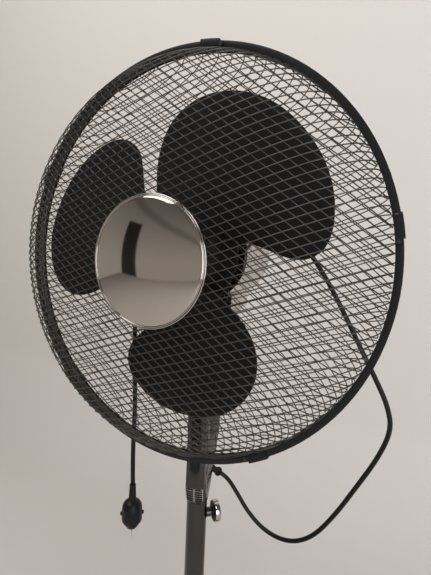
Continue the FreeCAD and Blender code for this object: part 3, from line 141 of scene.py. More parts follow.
class FanColourSettings(bpy.types.PropertyGroup):
    """Colours of the fan's finishes."""
    chrome: colour_setting("Bright chrome", "The motor's cover and the badge", (0.56, 0.515, 0.475))
    dark_chrome: colour_setting("Dark chrome", "The column and the control housing", (0.080, 0.075, 0.070))
    wire: colour_setting("Guard wire", "The woven wire and its edge rings", (0.11, 0.101, 0.092))
    band: colour_setting("Guard band", "The band round the guard and its latches", (0.014, 0.014, 0.016))
    blade: colour_setting("Blades", "The three-blade moulding", (0.006, 0.006, 0.007))
    plastic: colour_setting("Black plastic", "Panels, knobs and nuts", (0.010, 0.010, 0.011))
    base: colour_setting("Base paint", "The round base and its socket", (0.05, 0.05, 0.052))
    cord: colour_setting("Cord", "The power cord and its plug", (0.007, 0.007, 0.009))


class FanStageSettings(bpy.types.PropertyGroup):
    """The pale studio round the fan."""
    backdrop: colour_setting("Backdrop", "Floor and wall", (0.80, 0.775, 0.75))
    key_power: power_setting("Key light", "Power of the large soft light on the left", 44.0)
    fill_power: power_setting("Fill light", "Power of the soft light on the right", 20.0)
    top_power: power_setting("Top light", "Power of the overhead light", 16.0)
    room_glow: FloatProperty(name="Room glow", description="Strength of the light from all round",
                             default=0.62, min=0.0)
    room_low: colour_setting("Room", "Light from the room's walls", (0.60, 0.55, 0.50))
    room_high: colour_setting("Room above", "Light from the room's ceiling", (0.20, 0.185, 0.17))


# ---- node trees ----------------------------------------------------------------------------------
def feed(socket, item):
    """Give an input socket a value, or a link from another node."""
    if isinstance(item, Value):
        socket.id_data.links.new(item.socket, socket)
    else:
        socket.default_value = item


class Value:
    """An output socket that arithmetic works on: each operation adds a Math node to its tree."""

    def __init__(self, socket):
        self.socket = socket

    def maths(self, operation, *items):
        node = self.socket.id_data.nodes.new("ShaderNodeMath")
        node.operation = operation
        for socket, item in zip(node.inputs, items):
            feed(socket, item)
        return Value(node.outputs[0])

    def __add__(self, other):
        return self.maths("ADD", self, other)

    def __radd__(self, other):
        return self.maths("ADD", other, self)

    def __sub__(self, other):
        return self.maths("SUBTRACT", self, other)

    def __rsub__(self, other):
        return self.maths("SUBTRACT", other, self)

    def __mul__(self, other):
        return self.maths("MULTIPLY", self, other)

    def __rmul__(self, other):
        return self.maths("MULTIPLY", other, self)

    def __truediv__(self, other):
        return self.maths("DIVIDE", self, other)

    def __rtruediv__(self, other):
        return self.maths("DIVIDE", other, self)

    def __pow__(self, other):
        return self.maths("POWER", self, other)

    def root(self):
        return self.maths("SQRT", self)

    def sine(self):
        return self.maths("SINE", self)

    def cosine(self):
        return self.maths("COSINE", self)

    def size(self):
        return self.maths("ABSOLUTE", self)

    def sign(self):
        return self.maths("SIGN", self)

    def at_least(self, other):
        return self.maths("MAXIMUM", self, other)

    def at_most(self, other):
        return self.maths("MINIMUM", self, other)

    def whole(self):
        return self.maths("FLOOR", self)


class Graph:
    """Adds nodes to a tree: kind, settings, then the values or links of the sockets by name or number."""

    def __init__(self, tree):
        self.tree = tree

    def node(self, kind, settings=None, sockets=None):
        node = self.tree.nodes.new(kind)
        for name, setting in (settings or {}).items():
            setattr(node, name, setting)
        for key, item in (sockets or {}).items():
            feed(node.inputs[key], item)
        return node

    def out(self, kind, settings=None, sockets=None, output=0):
        return Value(self.node(kind, settings, sockets).outputs[output])

    def vector(self, x, y, z):
        return self.out("ShaderNodeCombineXYZ", None, {0: x, 1: y, 2: z})

    def split(self, vector):
        node = self.node("ShaderNodeSeparateXYZ", None, {0: vector})
        return [Value(socket) for socket in node.outputs]


class Finish(Graph):
    """A material with one Principled shader, patterned on the object's own coordinates."""

    def __init__(self, name):
        self.material = bpy.data.materials.new(name)
        self.material.use_nodes = True
        super().__init__(self.material.node_tree)
        self.tree.nodes.clear()
        self.shader = self.node("ShaderNodeBsdfPrincipled")
        self.output = self.node("ShaderNodeOutputMaterial")
        self.tree.links.new(self.shader.outputs[0], self.output.inputs["Surface"])
        self.place = self.out("ShaderNodeTexCoord", output="Object")

    def noise(self, scale, detail, roughness):
        return self.out("ShaderNodeTexNoise", None, {
            "Vector": self.place, "Scale": scale, "Detail": detail, "Roughness": roughness})

    def blend(self, low, high, share):
        """A colour between two others."""
        mix = self.node("ShaderNodeMix", {"data_type": "RGBA"})
        feed(mix.inputs[0], share)
        feed(mix.inputs[6], (*low, 1.0))
        feed(mix.inputs[7], (*high, 1.0))
        return Value(mix.outputs[2])

    def bump(self, height, distance, strength):
        return self.out("ShaderNodeBump", None, {
            "Height": height, "Distance": distance, "Strength": strength})

    def set(self, **values):
        """Set the shader's sockets: base_color feeds Base Color, and so on."""
        for name, item in values.items():
            feed(self.shader.inputs[name.replace("_", " ").title().replace("Ior", "IOR")], item)
        return self.material


def tinted(colour, factor):
    return tuple(min(1.0, part * factor) for part in colour)


# ---- finishes ------------------------------------------------------------------------------------
def chrome_finish(name, colour, roughness):
    """Plated metal with faint handling smudges and a slight ripple."""
    look = Finish(name)
    smudge = look.noise(scale=14.0, detail=5.0, roughness=0.6)
    haze = look.noise(scale=60.0, detail=3.0, roughness=0.5)
    ripple = look.noise(scale=26.0, detail=1.0, roughness=0.4)
    return look.set(
        base_color=look.blend(tinted(colour, 0.9), tinted(colour, 1.08), smudge), metallic=1.0,
        roughness=roughness + 0.10 * smudge * haze, normal=look.bump(ripple, distance=0.0004, strength=0.25))


def wire_finish(name, colour):
    """Plated wire, a little duller where dust has settled."""
    look = Finish(name)
    dust = look.noise(scale=45.0, detail=4.0, roughness=0.6)
    return look.set(
        base_color=look.blend(tinted(colour, 0.75), tinted(colour, 1.25), dust), metallic=0.92,
        roughness=0.30 + 0.2 * dust)


def enamel_finish(name, colour, roughness):
    """Stove enamel with a fine orange-peel surface."""
    look = Finish(name)
    peel = look.noise(scale=420.0, detail=2.0, roughness=0.5)
    patch = look.noise(scale=7.0, detail=4.0, roughness=0.6)
    return look.set(
        base_color=look.blend(tinted(colour, 0.85), tinted(colour, 1.2), patch), metallic=0.0,
        roughness=roughness + 0.10 * patch, specular_ior_level=0.25,
        normal=look.bump(peel, distance=0.00008, strength=0.5))


def plastic_finish(name, colour, roughness, grain):
    """Moulded plastic with a spark-eroded grain."""
    look = Finish(name)
    texture = look.noise(scale=1500.0, detail=2.0, roughness=0.5)
    patch = look.noise(scale=22.0, detail=3.0, roughness=0.55)
    return look.set(
        base_color=look.blend(tinted(colour, 0.8), tinted(colour, 1.35), patch), metallic=0.0,
        roughness=roughness + 0.12 * patch, specular_ior_level=0.25,
        normal=look.bump(texture, distance=grain, strength=0.6))


def steel_finish(name, colour):
    """Turned steel with fine lines."""
    look = Finish(name)
    grain = look.noise(scale=260.0, detail=4.0, roughness=0.65)
    return look.set(
        base_color=look.blend(tinted(colour, 0.8), tinted(colour, 1.1), grain), metallic=1.0,
        roughness=0.28 + 0.18 * grain)


def backdrop_finish(colour):
    """Matt paint with a faint roller texture and painted shade: the floor is painted darker, blending up into
    the wall; seen from behind it is clear.
    """
    # Painted shade: the floor's colour is darkened by this factor and fades into the wall's colour over
    # blend_height
    painted_floor_shade = 0.84
    blend_height = 0.3
    look = Finish("backdrop paint")
    behind = look.out("ShaderNodeNewGeometry", output="Backfacing")
    see_through = look.node("ShaderNodeMixShader", None, {0: behind, 1: Value(look.shader.outputs[0])})
    look.tree.links.new(look.node("ShaderNodeBsdfTransparent").outputs[0], see_through.inputs[2])
    look.tree.links.new(see_through.outputs[0], look.output.inputs["Surface"])
    roller = look.noise(scale=90.0, detail=3.0, roughness=0.6)
    _, _, height = look.split(look.place)
    wall = (height / blend_height + 0.02 * roller).at_most(1.0)
    return look.set(
        base_color=look.blend(tinted(colour, painted_floor_shade), colour, wall), roughness=0.9,
        specular_ior_level=0.1, normal=look.bump(roller, distance=0.0004, strength=0.3))


def casting_finish(name, colour):
    """Rough cast iron under thin paint."""
    look = Finish(name)
    lumps = look.noise(scale=180.0, detail=5.0, roughness=0.7)
    return look.set(
        base_color=look.blend(tinted(colour, 0.7), tinted(colour, 1.3), lumps), metallic=0.1,
        roughness=0.55 + 0.2 * lumps, normal=look.bump(lumps, distance=0.0004, strength=0.6))


FINISHES = {}


def make_finishes(colours):
    """Fill the table of finishes that pieces and CAD nodes take theirs from."""
    FINISHES.update({
        "chrome": chrome_finish("bright chrome", colours.chrome, roughness=0.05),
        "dark_chrome": chrome_finish("dark chrome", colours.dark_chrome, roughness=0.13),
        "wire": wire_finish("guard wire", colours.wire),
        "band": enamel_finish("band enamel", colours.band, roughness=0.30),
        "base": enamel_finish("base enamel", colours.base, roughness=0.28),
        "blade": plastic_finish("blade plastic", colours.blade, roughness=0.55, grain=0.00003),
        "plastic": plastic_finish("black plastic", colours.plastic, roughness=0.42, grain=0.00006),
        "key": plastic_finish("glossy keys", tinted(colours.plastic, 1.1), roughness=0.16, grain=0.00001),
        "rubber": plastic_finish("foot rubber", tinted(colours.plastic, 1.4), roughness=0.68, grain=0.0001),
        "cord": plastic_finish("cord sheath", colours.cord, roughness=0.36, grain=0.00004),
        "steel": steel_finish("bright steel", (0.58, 0.57, 0.56)),
        "dark_steel": steel_finish("blackened steel", (0.09, 0.085, 0.08)),
        "lamination": steel_finish("motor laminations", (0.34, 0.31, 0.28)),
        "casting": casting_finish("painted casting", (0.06, 0.06, 0.062)),
    })


# The CAD nodes that each finish goes on
FINISHED_NODES = {
    "chrome": ["motor_rear_shell", "motor_front_shell", "motor_mount"],
    "dark_chrome": ["outer_tube", "inner_tube", "housing_front", "housing_rear", "column_socket"],
    "wire": ["front_guard_rim", "rear_guard_rim"],
    "band": ["guard_band", "guard_clip_1", "guard_clip_2", "guard_clip_3", "guard_clip_4",
             "guard_clip_5"],
    "base": ["base_cover"],
    "blade": ["blade"],
    "plastic": ["tube_plug", "tube_bush", "pole_guide", "button_panel", "ribbed_insert", "switch_block",
                "tilt_knob", "swing_knob", "rear_guard_nut", "blade_nut", "badge_backing"],
    "key": ["button_0", "button_1", "button_2", "button_3"],
    "rubber": ["foot_ring"],
    "dark_steel": ["clip_pins"],
    "steel": ["base_bolt", "housing_screws", "plug_pins", "tilt_bolt", "motor_shaft", "crank", "link_arm",
              "front_bearing", "rear_bearing", "pole_sleeve", "rear_bracket"],
    "lamination": ["stator", "rotor_core"],
    "casting": ["base_weight", "neck", "pole_head"],
}
NODE_FINISH = {node: finish for finish, nodes in FINISHED_NODES.items() for node in nodes}


# ---- making pieces -------------------------------------------------------------------------------
MERGE_DISTANCE = 2e-6
FLAT_ANGLE = math.radians(0.4)
SHARP_EDGE_ANGLE = math.radians(30.0)
CORNER_REACH = 0.45


def new_piece(name, mesh, finish):
    """An object with one finish, linked to the scene."""
    piece = bpy.data.objects.new(name, mesh)
    bpy.context.scene.collection.objects.link(piece)
    mesh.materials.clear()
    mesh.materials.append(FINISHES[finish])
    return piece


def smooth(mesh):
    mesh.shade_smooth()
    return mesh


def taken_out(shell, name):
    """The mesh that a bmesh holds, which is freed."""
    mesh = bpy.data.meshes.new(name)
    shell.to_mesh(mesh)
    shell.free()
    return mesh


def shaded(mesh, crease):
    """Smooth shading that breaks at edges sharper than the crease angle, in degrees."""
    mesh.shade_smooth()
    mesh.set_sharp_from_angle(angle=math.radians(crease))
    return mesh


def eased(outline, radius, steps=4):
    """An open outline with each corner rounded by a short curve of about that radius."""
    points = [Vector(outline[0])]
    for before, corner, after in zip(outline, outline[1:], outline[2:]):
        corner = Vector(corner)
        back = Vector(before) - corner
        ahead = Vector(after) - corner
        start = corner + back.normalized() * min(radius, back.length * CORNER_REACH)
        end = corner + ahead.normalized() * min(radius, ahead.length * CORNER_REACH)
        for step in range(steps + 1):
            share = step / steps
            points.append(start * (1 - share) ** 2 + corner * (2 * share * (1 - share)) + end * share ** 2)
    points.append(Vector(outline[-1]))
    return points


def turned(name, outline, start, axis, steps):
    """A solid of revolution from an outline of (radius, distance along the axis), from pole to pole."""
    axis = Vector(axis).normalized()
    start = Vector(start)
    across = axis.orthogonal().normalized()
    other = axis.cross(across)
    shell = bmesh.new()
    rings = []
    for radius, distance in outline:
        count = steps if radius > 0.0 else 1
        ring = []
        for step in range(count):
            turn = math.tau * step / count
            side = (across * math.cos(turn) + other * math.sin(turn)) * radius
            ring.append(shell.verts.new(start + axis * distance + side))
        rings.append(ring)
    for first, second in zip(rings, rings[1:]):
        for step in range(steps):
            corners = [first[step % len(first)], first[(step + 1) % len(first)],
                       second[(step + 1) % len(second)], second[step % len(second)]]
            unique = list(dict.fromkeys(corners))
            if len(unique) > 2:
                shell.faces.new(unique)
    bmesh.ops.recalc_face_normals(shell, faces=shell.faces)
    return shaded(taken_out(shell, name), crease=50.0)


def node_shell(node):
    """A bmesh copy of a CAD node, with its facets joined."""
    shell = bmesh.new()
    shell.from_mesh(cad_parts[node].data)
    bmesh.ops.remove_doubles(shell, verts=shell.verts, dist=MERGE_DISTANCE)
    return shell


def softened(node, width):
    """A copy of a CAD node with its flat facets merged and its sharp edges rounded over."""
    shell = node_shell(node)
    bmesh.ops.dissolve_limit(shell, angle_limit=FLAT_ANGLE, verts=shell.verts, edges=shell.edges)
    edges = [edge for edge in shell.edges
             if len(edge.link_faces) == 2 and edge.calc_face_angle(0.0) > SHARP_EDGE_ANGLE]
    bmesh.ops.bevel(shell, geom=edges, offset=width, offset_type="OFFSET", segments=2, profile=0.5,
                    affect="EDGES", clamp_overlap=True)
    bmesh.ops.triangulate(shell, faces=shell.faces)
    return shaded(taken_out(shell, node + "_shape"), crease=32.0)


def fit(name, mesh, finish, body, node):
    """Put a finished piece on its body in place of a CAD node."""
    piece = new_piece(name, mesh, finish)
    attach(piece, body)
    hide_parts(node)


def tube_rings(shell, points, radius, sides):
    """Rings of vertices round a line of points, turned as little as can be from each to the next."""
    rings = []
    across = None
    for index, point in enumerate(points):
        before = points[max(index - 1, 0)]
        after = points[min(index + 1, len(points) - 1)]
        along = (after - before).normalized()
        if across is None:
            across = along.orthogonal().normalized()
        across = (across - along * across.dot(along)).normalized()
        other = along.cross(across)
        ring = []
        for side in range(sides):
            turn = math.tau * side / sides
            outward = across * math.cos(turn) + other * math.sin(turn)
            ring.append(shell.verts.new(point + outward * radius))
        rings.append(ring)
    return rings


def tube_along(name, points, radius, sides):
    """A closed round tube along a line of points, with its own UV map that runs along it."""
    shell = bmesh.new()
    uv = shell.loops.layers.uv.new("along")
    rings = tube_rings(shell, points, radius, sides)
    travelled = [0.0]
    for before, after in zip(points, points[1:]):
        travelled.append(travelled[-1] + (after - before).length)
    for index in range(len(rings) - 1):
        for side in range(sides):
            following = (side + 1) % sides
            face = shell.faces.new((rings[index][side], rings[index][following],
                                    rings[index + 1][following], rings[index + 1][side]))
            corners = ((index, side), (index, side + 1), (index + 1, side + 1), (index + 1, side))
            for loop, (station, step) in zip(face.loops, corners):
                loop[uv].uv = (step / sides, travelled[station])
    shell.faces.new(list(reversed(rings[0])))
    shell.faces.new(rings[-1])
    bmesh.ops.recalc_face_normals(shell, faces=shell.faces)
    return smooth(taken_out(shell, name))


def route_line(name, route):
    """The points of a smooth NURBS line through a cord's route."""
    curve = bpy.data.curves.new(name, "CURVE")
    curve.dimensions = "3D"
    curve.resolution_u = 12
    spline = curve.splines.new("NURBS")
    spline.points.add(len(route) - 1)
    for point, place in zip(spline.points, route):
        point.co = (*place, 1.0)
    spline.order_u = 3
    spline.use_endpoint_u = True
    guide = bpy.data.objects.new(name, curve)
    line = bpy.data.meshes.new_from_object(guide)
    points = [vertex.co.copy() for vertex in line.vertices]
    bpy.data.objects.remove(guide)
    bpy.data.curves.remove(curve)
    bpy.data.meshes.remove(line)
    return points


# ---- guard ---------------------------------------------------------------------------------------
WIRE_INPUTS = (
    ("Float", ("Dish radius", "Dish depth", "Rim plane", "Hole radius", "Shoulder power", "Face power",
               "Wire pitch", "Wire radius", "Direction", "Side", "Hole along", "Hole across")),
    ("Int", ("Wire sides",)),
    ("Vector", ("Centre",)),
    ("Material", ("Finish",)),
)
# Radii of the holes that the wires stop at, and how far they run past the dish into its edge wire
FRONT_HOLE = 0.016
REAR_HOLE = 0.032
WIRE_OVERRUN = 0.0012
# The second layer lies this many wire radii further in
SECOND_LAYER = 1.9
# Points along half a wire before it is dished, and the distance between its rings afterwards
HALF_WIRE_POINTS = 90
WIRE_RING_SPACING = 0.0055


def half_wires(graph, given):
    """A row of straight lines for each wire of a layer, one from 0 to 1 along X and one from 0 to -1."""
    pitch = given("Wire pitch")
    half_count = (given("Dish radius") / pitch).whole()
    rows = graph.out("GeometryNodeMeshLine", {"mode": "OFFSET"}, {
        "Count": 2.0 * half_count + 1.0,
        "Start Location": graph.vector(0.0, -1.0 * half_count * pitch, 0.0),
        "Offset": graph.vector(0.0, pitch, 0.0)})
    line = graph.out("GeometryNodeCurvePrimitiveLine", None, {"Start": (0, 0, 0), "End": (1, 0, 0)})
    line = graph.out("GeometryNodeResampleCurve", None, {"Curve": line, "Count": HALF_WIRE_POINTS})
    wires = graph.out("GeometryNodeInstanceOnPoints", None, {"Points": rows, "Instance": line})
    wires = graph.out("GeometryNodeRealizeInstances", None, {0: wires})
    other_half = graph.out("GeometryNodeTransform", None, {"Geometry": wires, "Scale": (-1, 1, 1)})
    join = graph.node("GeometryNodeJoinGeometry")
    graph.tree.links.new(other_half.socket, join.inputs[0])
    graph.tree.links.new(wires.socket, join.inputs[0])
    return Value(join.outputs[0])


def dished_place(graph, given):
    """Where each point of the half wires lies: from the hole out to the rim, raised to the dish."""
    radius = given("Dish radius")
    hole = given("Hole radius")
    share, offset, _ = graph.split(graph.out("GeometryNodeInputPosition"))
    from_hole = offset - given("Hole across")
    half_gap = (hole * hole - from_hole * from_hole).at_least(0.0).root()
    outer = share.sign() * (radius * radius - offset * offset).at_least(0.0).root()
    inner = given("Hole along") + share.sign() * half_gap
    spread = (share.size() * (math.pi / 2)).sine()
    along = inner + (outer - inner) * spread
    reach = ((along * along + offset * offset).root() / radius).at_most(1.0)
    rise = (1.0 - reach ** given("Shoulder power")).at_least(0.0) ** (1.0 / given("Face power"))
    depth = given("Rim plane") + (given("Dish depth") - given("Rim plane")) * rise
    turn = given("Direction")
    centre_x, centre_y, centre_z = graph.split(given("Centre"))
    return graph.vector(
        centre_x + along * turn.cosine() - offset * turn.sine(),
        centre_y + given("Side") * depth,
        centre_z + along * turn.sine() + offset * turn.cosine())


def wire_layer_tree():
    """Parallel wires laid over one half of the guard: straight from the front, dished from the side."""
    tree = bpy.data.node_groups.new("Wire layer", "GeometryNodeTree")
    tree.interface.new_socket("Geometry", in_out="INPUT", socket_type="NodeSocketGeometry")
    for kind, names in WIRE_INPUTS:
        for name in names:
            tree.interface.new_socket(name, in_out="INPUT", socket_type="NodeSocket" + kind)
    tree.interface.new_socket("Geometry", in_out="OUTPUT", socket_type="NodeSocketGeometry")
    graph = Graph(tree)
    group = graph.node("NodeGroupInput")

    def given(name):
        return Value(group.outputs[name])

    wires = graph.out("GeometryNodeSetPosition", None, {
        "Geometry": half_wires(graph, given), "Position": dished_place(graph, given)})
    wires = graph.out("GeometryNodeResampleCurve", {"mode": "LENGTH"}, {
        "Curve": wires, "Length": WIRE_RING_SPACING})
    section = graph.out("GeometryNodeCurvePrimitiveCircle", None, {
        "Resolution": given("Wire sides"), "Radius": given("Wire radius")})
    solid = graph.out("GeometryNodeCurveToMesh", None, {
        "Curve": wires, "Profile Curve": section, "Fill Caps": True})
    solid = graph.out("GeometryNodeSetShadeSmooth", None, {0: solid})
    solid = graph.out("GeometryNodeRealizeInstances", None, {0: solid})
    solid = graph.out("GeometryNodeSetMaterial", None, {"Geometry": solid, "Material": given("Finish")})
    output = graph.node("NodeGroupOutput")
    tree.links.new(solid.socket, output.inputs[0])
    return tree


def run_tree(name, tree, values):
    """The plain mesh that a node tree makes from named values."""
    holder = bpy.data.objects.new(name + "_maker", bpy.data.meshes.new(name + "_maker"))
    bpy.context.scene.collection.objects.link(holder)
    modifier = holder.modifiers.new("maker", "NODES")
    modifier.node_group = tree
    for item in tree.interface.items_tree:
        if item.in_out == "INPUT" and item.name in values:
            modifier[item.identifier] = values[item.name]
    bpy.context.view_layer.update()
    evaluated = holder.evaluated_get(bpy.context.evaluated_depsgraph_get())
    mesh = bpy.data.meshes.new_from_object(evaluated)
    holder.modifiers.remove(modifier)
    bpy.data.objects.remove(holder)
    mesh.name = name
    return mesh


def joined(name, meshes):
    """One mesh from several."""
    shell = bmesh.new()
    for mesh in meshes:
        shell.from_mesh(mesh)
        bpy.data.meshes.remove(mesh)
    return taken_out(shell, name)


class FAN_OT_guard_wires(bpy.types.Operator):
    """Weave the front and rear guard from two layers of wire each"""
    bl_idname = "fan.guard_wires"
    bl_label = "Guard Wires"

    def execute(self, context):
        settings = context.scene.fan_guard
        tree = wire_layer_tree()
        shift = Vector((MOTOR_CENTRE.x - HEAD_CENTRE.x, MOTOR_CENTRE.z - HEAD_CENTRE.z))
        halves = (("front_wires", "front_guard_mesh", -1.0, FRONT_HOLE, Vector((0.0, 0.0))),
                  ("rear_wires", "rear_guard_mesh", 1.0, REAR_HOLE, shift))
        for name, node, side, hole, hole_centre in halves:
            layers = []
            for index, slope in enumerate((settings.rising_angle, settings.falling_angle)):
                inset = settings.wire_radius * (1 + SECOND_LAYER * index)
                run = Vector((math.cos(slope), math.sin(slope)))
                layers.append(run_tree(name + str(index), tree, {
                    "Dish radius": DISH_RADIUS - inset + WIRE_OVERRUN, "Dish depth": DISH_DEPTH - inset,
                    "Rim plane": RIM_PLANE, "Hole radius": hole, "Shoulder power": settings.shoulder_power,
                    "Face power": settings.face_power, "Wire pitch": settings.wire_pitch,
                    "Wire radius": settings.wire_radius, "Wire sides": settings.sides, "Direction": slope,
                    "Side": side, "Centre": HEAD_CENTRE, "Finish": FINISHES["wire"],
                    "Hole along": hole_centre.dot(run), "Hole across": run.cross(hole_centre)}))
            piece = new_piece(name, smooth(joined(name, layers)), "wire")
            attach(piece, "head")
            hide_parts(node)
        return {"FINISHED"}


# ---- cord ----------------------------------------------------------------------------------------
class FAN_OT_cord(bpy.types.Operator):
    """Lay the power cord from the housing, over the motor, to its plug"""
    bl_idname = "fan.cord"
    bl_label = "Power Cord"

    def execute(self, context):
        settings = context.scene.fan_cord
        runs = (
            ("cord_lower", "power_cord_lower", CORD_LOWER, "object"),
            ("cord_middle", "power_cord_middle", CORD_MIDDLE, "object"),
            ("cord_upper", "power_cord_upper", CORD_UPPER, "plug"),
        )
        for name, node, route, far_end in runs:
            points = route_line(name, route)
            piece = new_piece(name, tube_along(name, points, settings.radius, settings.sides), "cord")
            if name == "cord_lower":
                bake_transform(piece)
            elif name == "cord_middle":
                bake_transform(piece)
            else:
                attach(piece, "head")
            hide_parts(node)
        return {"FINISHED"}


# ---- trim ----------------------------------------------------------------------------------------
# CAD node, the body it rides on, its material slot, and how wide its rounded edges are
SOFTENED = [
    ("guard_band", "head", "band_metal", 0.0005),
    ("housing_front", "pole", "bright_chrome", 0.0006),
    ("housing_rear", "pole", "bright_chrome", 0.0006),
    ("button_panel", "pole", "black_plastic", 0.0003),
    ("ribbed_insert", "pole", "black_plastic", 0.0002),
    *[("button_%d" % number, "key_%d" % number, "key_plastic", 0.0005) for number in range(4)],
    ("tilt_knob", "tilt_clamp", "black_plastic", 0.0008),
    ("pole_head", "pole", "cast_weight", 0.0008),
    ("neck", "neck_body", "cast_weight", 0.0007),
    ("motor_mount", "head", "bright_chrome", 0.0012),
    ("rear_guard_nut", "head", "black_plastic", 0.0008),
    ("blade", "rotor", "blade_plastic", 0.0005),
    *[("guard_clip_%d" % number, "clip_%d" % number, "band_metal", 0.0004) for number in range(1, 6)],
]


class FAN_OT_soft_edges(bpy.types.Operator):
    """Round the edges of the moulded, pressed and cast pieces"""
    bl_idname = "fan.soft_edges"
    bl_label = "Soft Edges"

    def execute(self, context):
        for node, body, slot, width in SOFTENED:
            fit(node + "_piece", softened(node, width), NODE_FINISH[node], body, node)
        return {"FINISHED"}


# The badge's sizes, in from its edge or up from its back; each bead is (middle's inset, radius, height)
BADGE_WALL = 0.0012
BADGE_FOOT = 0.0034
BADGE_DOME_EDGE = 0.0030
BADGE_DOME_START = 0.0018
BADGE_OUTER_BEAD = (0.0008, 0.0008, 0.0008)
BADGE_INNER_BEAD = (0.0023, 0.0006, 0.0017)
BADGE_INSIDE = 0.985
DOME_STEPS = 24
BEAD_STEPS = 8


def dome_outline(edge, rise):
    """A shallow dome as part of a sphere, from its edge to its pole."""
    drop = rise - BADGE_DOME_START
    sphere = (edge ** 2 + drop ** 2) / (2 * drop)
    outline = []
    for step in range(DOME_STEPS + 1):
        reach = edge * (1 - step / DOME_STEPS)
        outline.append((reach, rise - sphere + math.sqrt(sphere ** 2 - reach ** 2)))
    return outline


def bead_outline(radius, bead):
    """The upper half of a round bead near the badge's edge, from its outside in."""
    inset, size, height = bead
    outline = []
    for step in range(BEAD_STEPS + 1):
        turn = math.pi * (step / BEAD_STEPS)
        outline.append((radius - inset + size * math.cos(turn), height + size * math.sin(turn)))
    return outline


class FAN_OT_badge(bpy.types.Operator):
    """Turn the domed badge with its double rim"""
    bl_idname = "fan.badge"
    bl_label = "Badge"

    def execute(self, context):
        radius = (BADGE_HIGH.x - BADGE_LOW.x) / 2
        dome = dome_outline(radius - BADGE_DOME_EDGE, BADGE_HIGH.y - BADGE_LOW.y)
        inside = [(reach * BADGE_INSIDE, height - BADGE_WALL) for reach, height in reversed(dome)]
        foot = [(radius - BADGE_FOOT, 0.0), (radius - BADGE_OUTER_BEAD[0], 0.0)]
        beads = bead_outline(radius, BADGE_OUTER_BEAD)[1:] + bead_outline(radius, BADGE_INNER_BEAD)
        outline = inside + foot + beads + dome
        centre = Vector(((BADGE_LOW.x + BADGE_HIGH.x) / 2, BADGE_HIGH.y, (BADGE_LOW.z + BADGE_HIGH.z) / 2))
        fit("badge", turned("badge", outline, centre, (0, -1, 0), steps=128), "chrome", "head", "centre_badge")
        return {"FINISHED"}


# Outlines are (radius, distance along the axis)
KNOB_TURN = math.radians(46.0)
KNOB_DISTANCE = 0.025
KNOB_CAP = [
    (0.0, 0.009), (0.0120, 0.009), (0.0150, 0.0076), (0.0150, 0.0), (0.0136, 0.0), (0.0134, 0.0026),
    (0.0, 0.0028),
]
KNOB_FACE = [
    (0.0, 0.0027), (0.0132, 0.0026), (0.0130, 0.0012), (0.0108, 0.0009), (0.0100, 0.0018),
    (0.0066, 0.0018), (0.0060, -0.0028), (0.0031, -0.0030), (0.0031, -0.0032), (0.0, -0.0032),
]
KNOB_STUD = [(0.0, -0.0136), (0.0024, -0.0136), (0.0029, -0.0130), (0.0029, 0.0010), (0.0, 0.0010)]


class FAN_OT_height_knob(bpy.types.Operator):
    """Build the column's clamp knob: a bright cap, a black hollow face and its stud"""
    bl_idname = "fan.height_knob"
    bl_label = "Height Knob"

    def execute(self, context):
        low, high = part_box("height_knob")
        along = Vector((math.cos(KNOB_TURN), math.sin(KNOB_TURN), 0.0))
        start = Vector((0.0, 0.0, (low.z + high.z) / 2)) + along * KNOB_DISTANCE
        cap = turned("knob_cap", eased(KNOB_CAP, 0.0008), start, along, steps=72)
        face = turned("knob_face", eased(KNOB_FACE, 0.0004), start, along, steps=72)
        stud = turned("knob_stud", KNOB_STUD, start, along, steps=32)
        fit("knob_cap", cap, "chrome", "knob", "height_knob")
        fit("knob_face", face, "plastic", "knob", "height_knob")
        fit("knob_stud", stud, "dark_steel", "knob", "height_knob")
        return {"FINISHED"}


GROOVE_PITCH = 0.0032
PLUG_BODY = [
    (0.0056, 0.0233), (0.0082, 0.0246), (0.0113, 0.0270), (0.0136, 0.0310), (0.0145, 0.0360),
    (0.0146, 0.0450), (0.0146, 0.0540), (0.0123, 0.0580), (0.0076, 0.0650), (0.0066, 0.0660), (0.0, 0.0660),
]
PLUG_LUGS = [
    (0.0, -0.0169), (0.0020, -0.0169), (0.0028, -0.0160), (0.0028, 0.0160), (0.0020, 0.0169),
    (0.0, 0.0169),
]
PLUG_LUG_DROP = 0.044
PLUG_LUG_TURN = math.radians(37.6)


def ribs_outline(count, start, radius, growth, groove, slope, length):
    """A boot's ribs: each groove is cut in by its depth between slopes, over that length."""
    outline = []
    for number in range(count):
        near = start + GROOVE_PITCH * number
        reach = radius + growth * number
        outline += [(reach, near), (reach - groove, near + slope), (reach - groove, near + length - slope),
                    (reach, near + length)]
    return outline


class FAN_OT_plug(bpy.types.Operator):
    """Mould the plug with its ribbed boot"""
    bl_idname = "fan.plug"
    bl_label = "Plug"

    def execute(self, context):
        boot = [(0.0, 0.0), (0.0043, 0.0), (0.00465, 0.0009)] + ribs_outline(
            6, start=0.0035, radius=0.00465, growth=0.00016, groove=0.0005, slope=0.0003, length=0.0013)
        body = turned("plug_body", eased(boot + PLUG_BODY, 0.0006, 3), CORD_UPPER[-1], (0, 0, -1), steps=72)
        fit("plug_body", body, "cord", "head", "plug")
        side = Vector((math.cos(PLUG_LUG_TURN), math.sin(PLUG_LUG_TURN), 0.0))
        middle = Vector(CORD_UPPER[-1]) - Vector((0.0, 0.0, PLUG_LUG_DROP))
        lugs = turned("plug_lugs", eased(PLUG_LUGS, 0.0005), middle, side, steps=32)
        fit("plug_lugs", lugs, "cord", "head", "plug")
        return {"FINISHED"}


INSERT_RIBS = 6
RIB_ROWS = (0.25, 0.75)
RIB_ENDS = (0.0008, 0.0113)
PLATE_LIFT = 0.0002
PLATE_THICKNESS = 0.0001


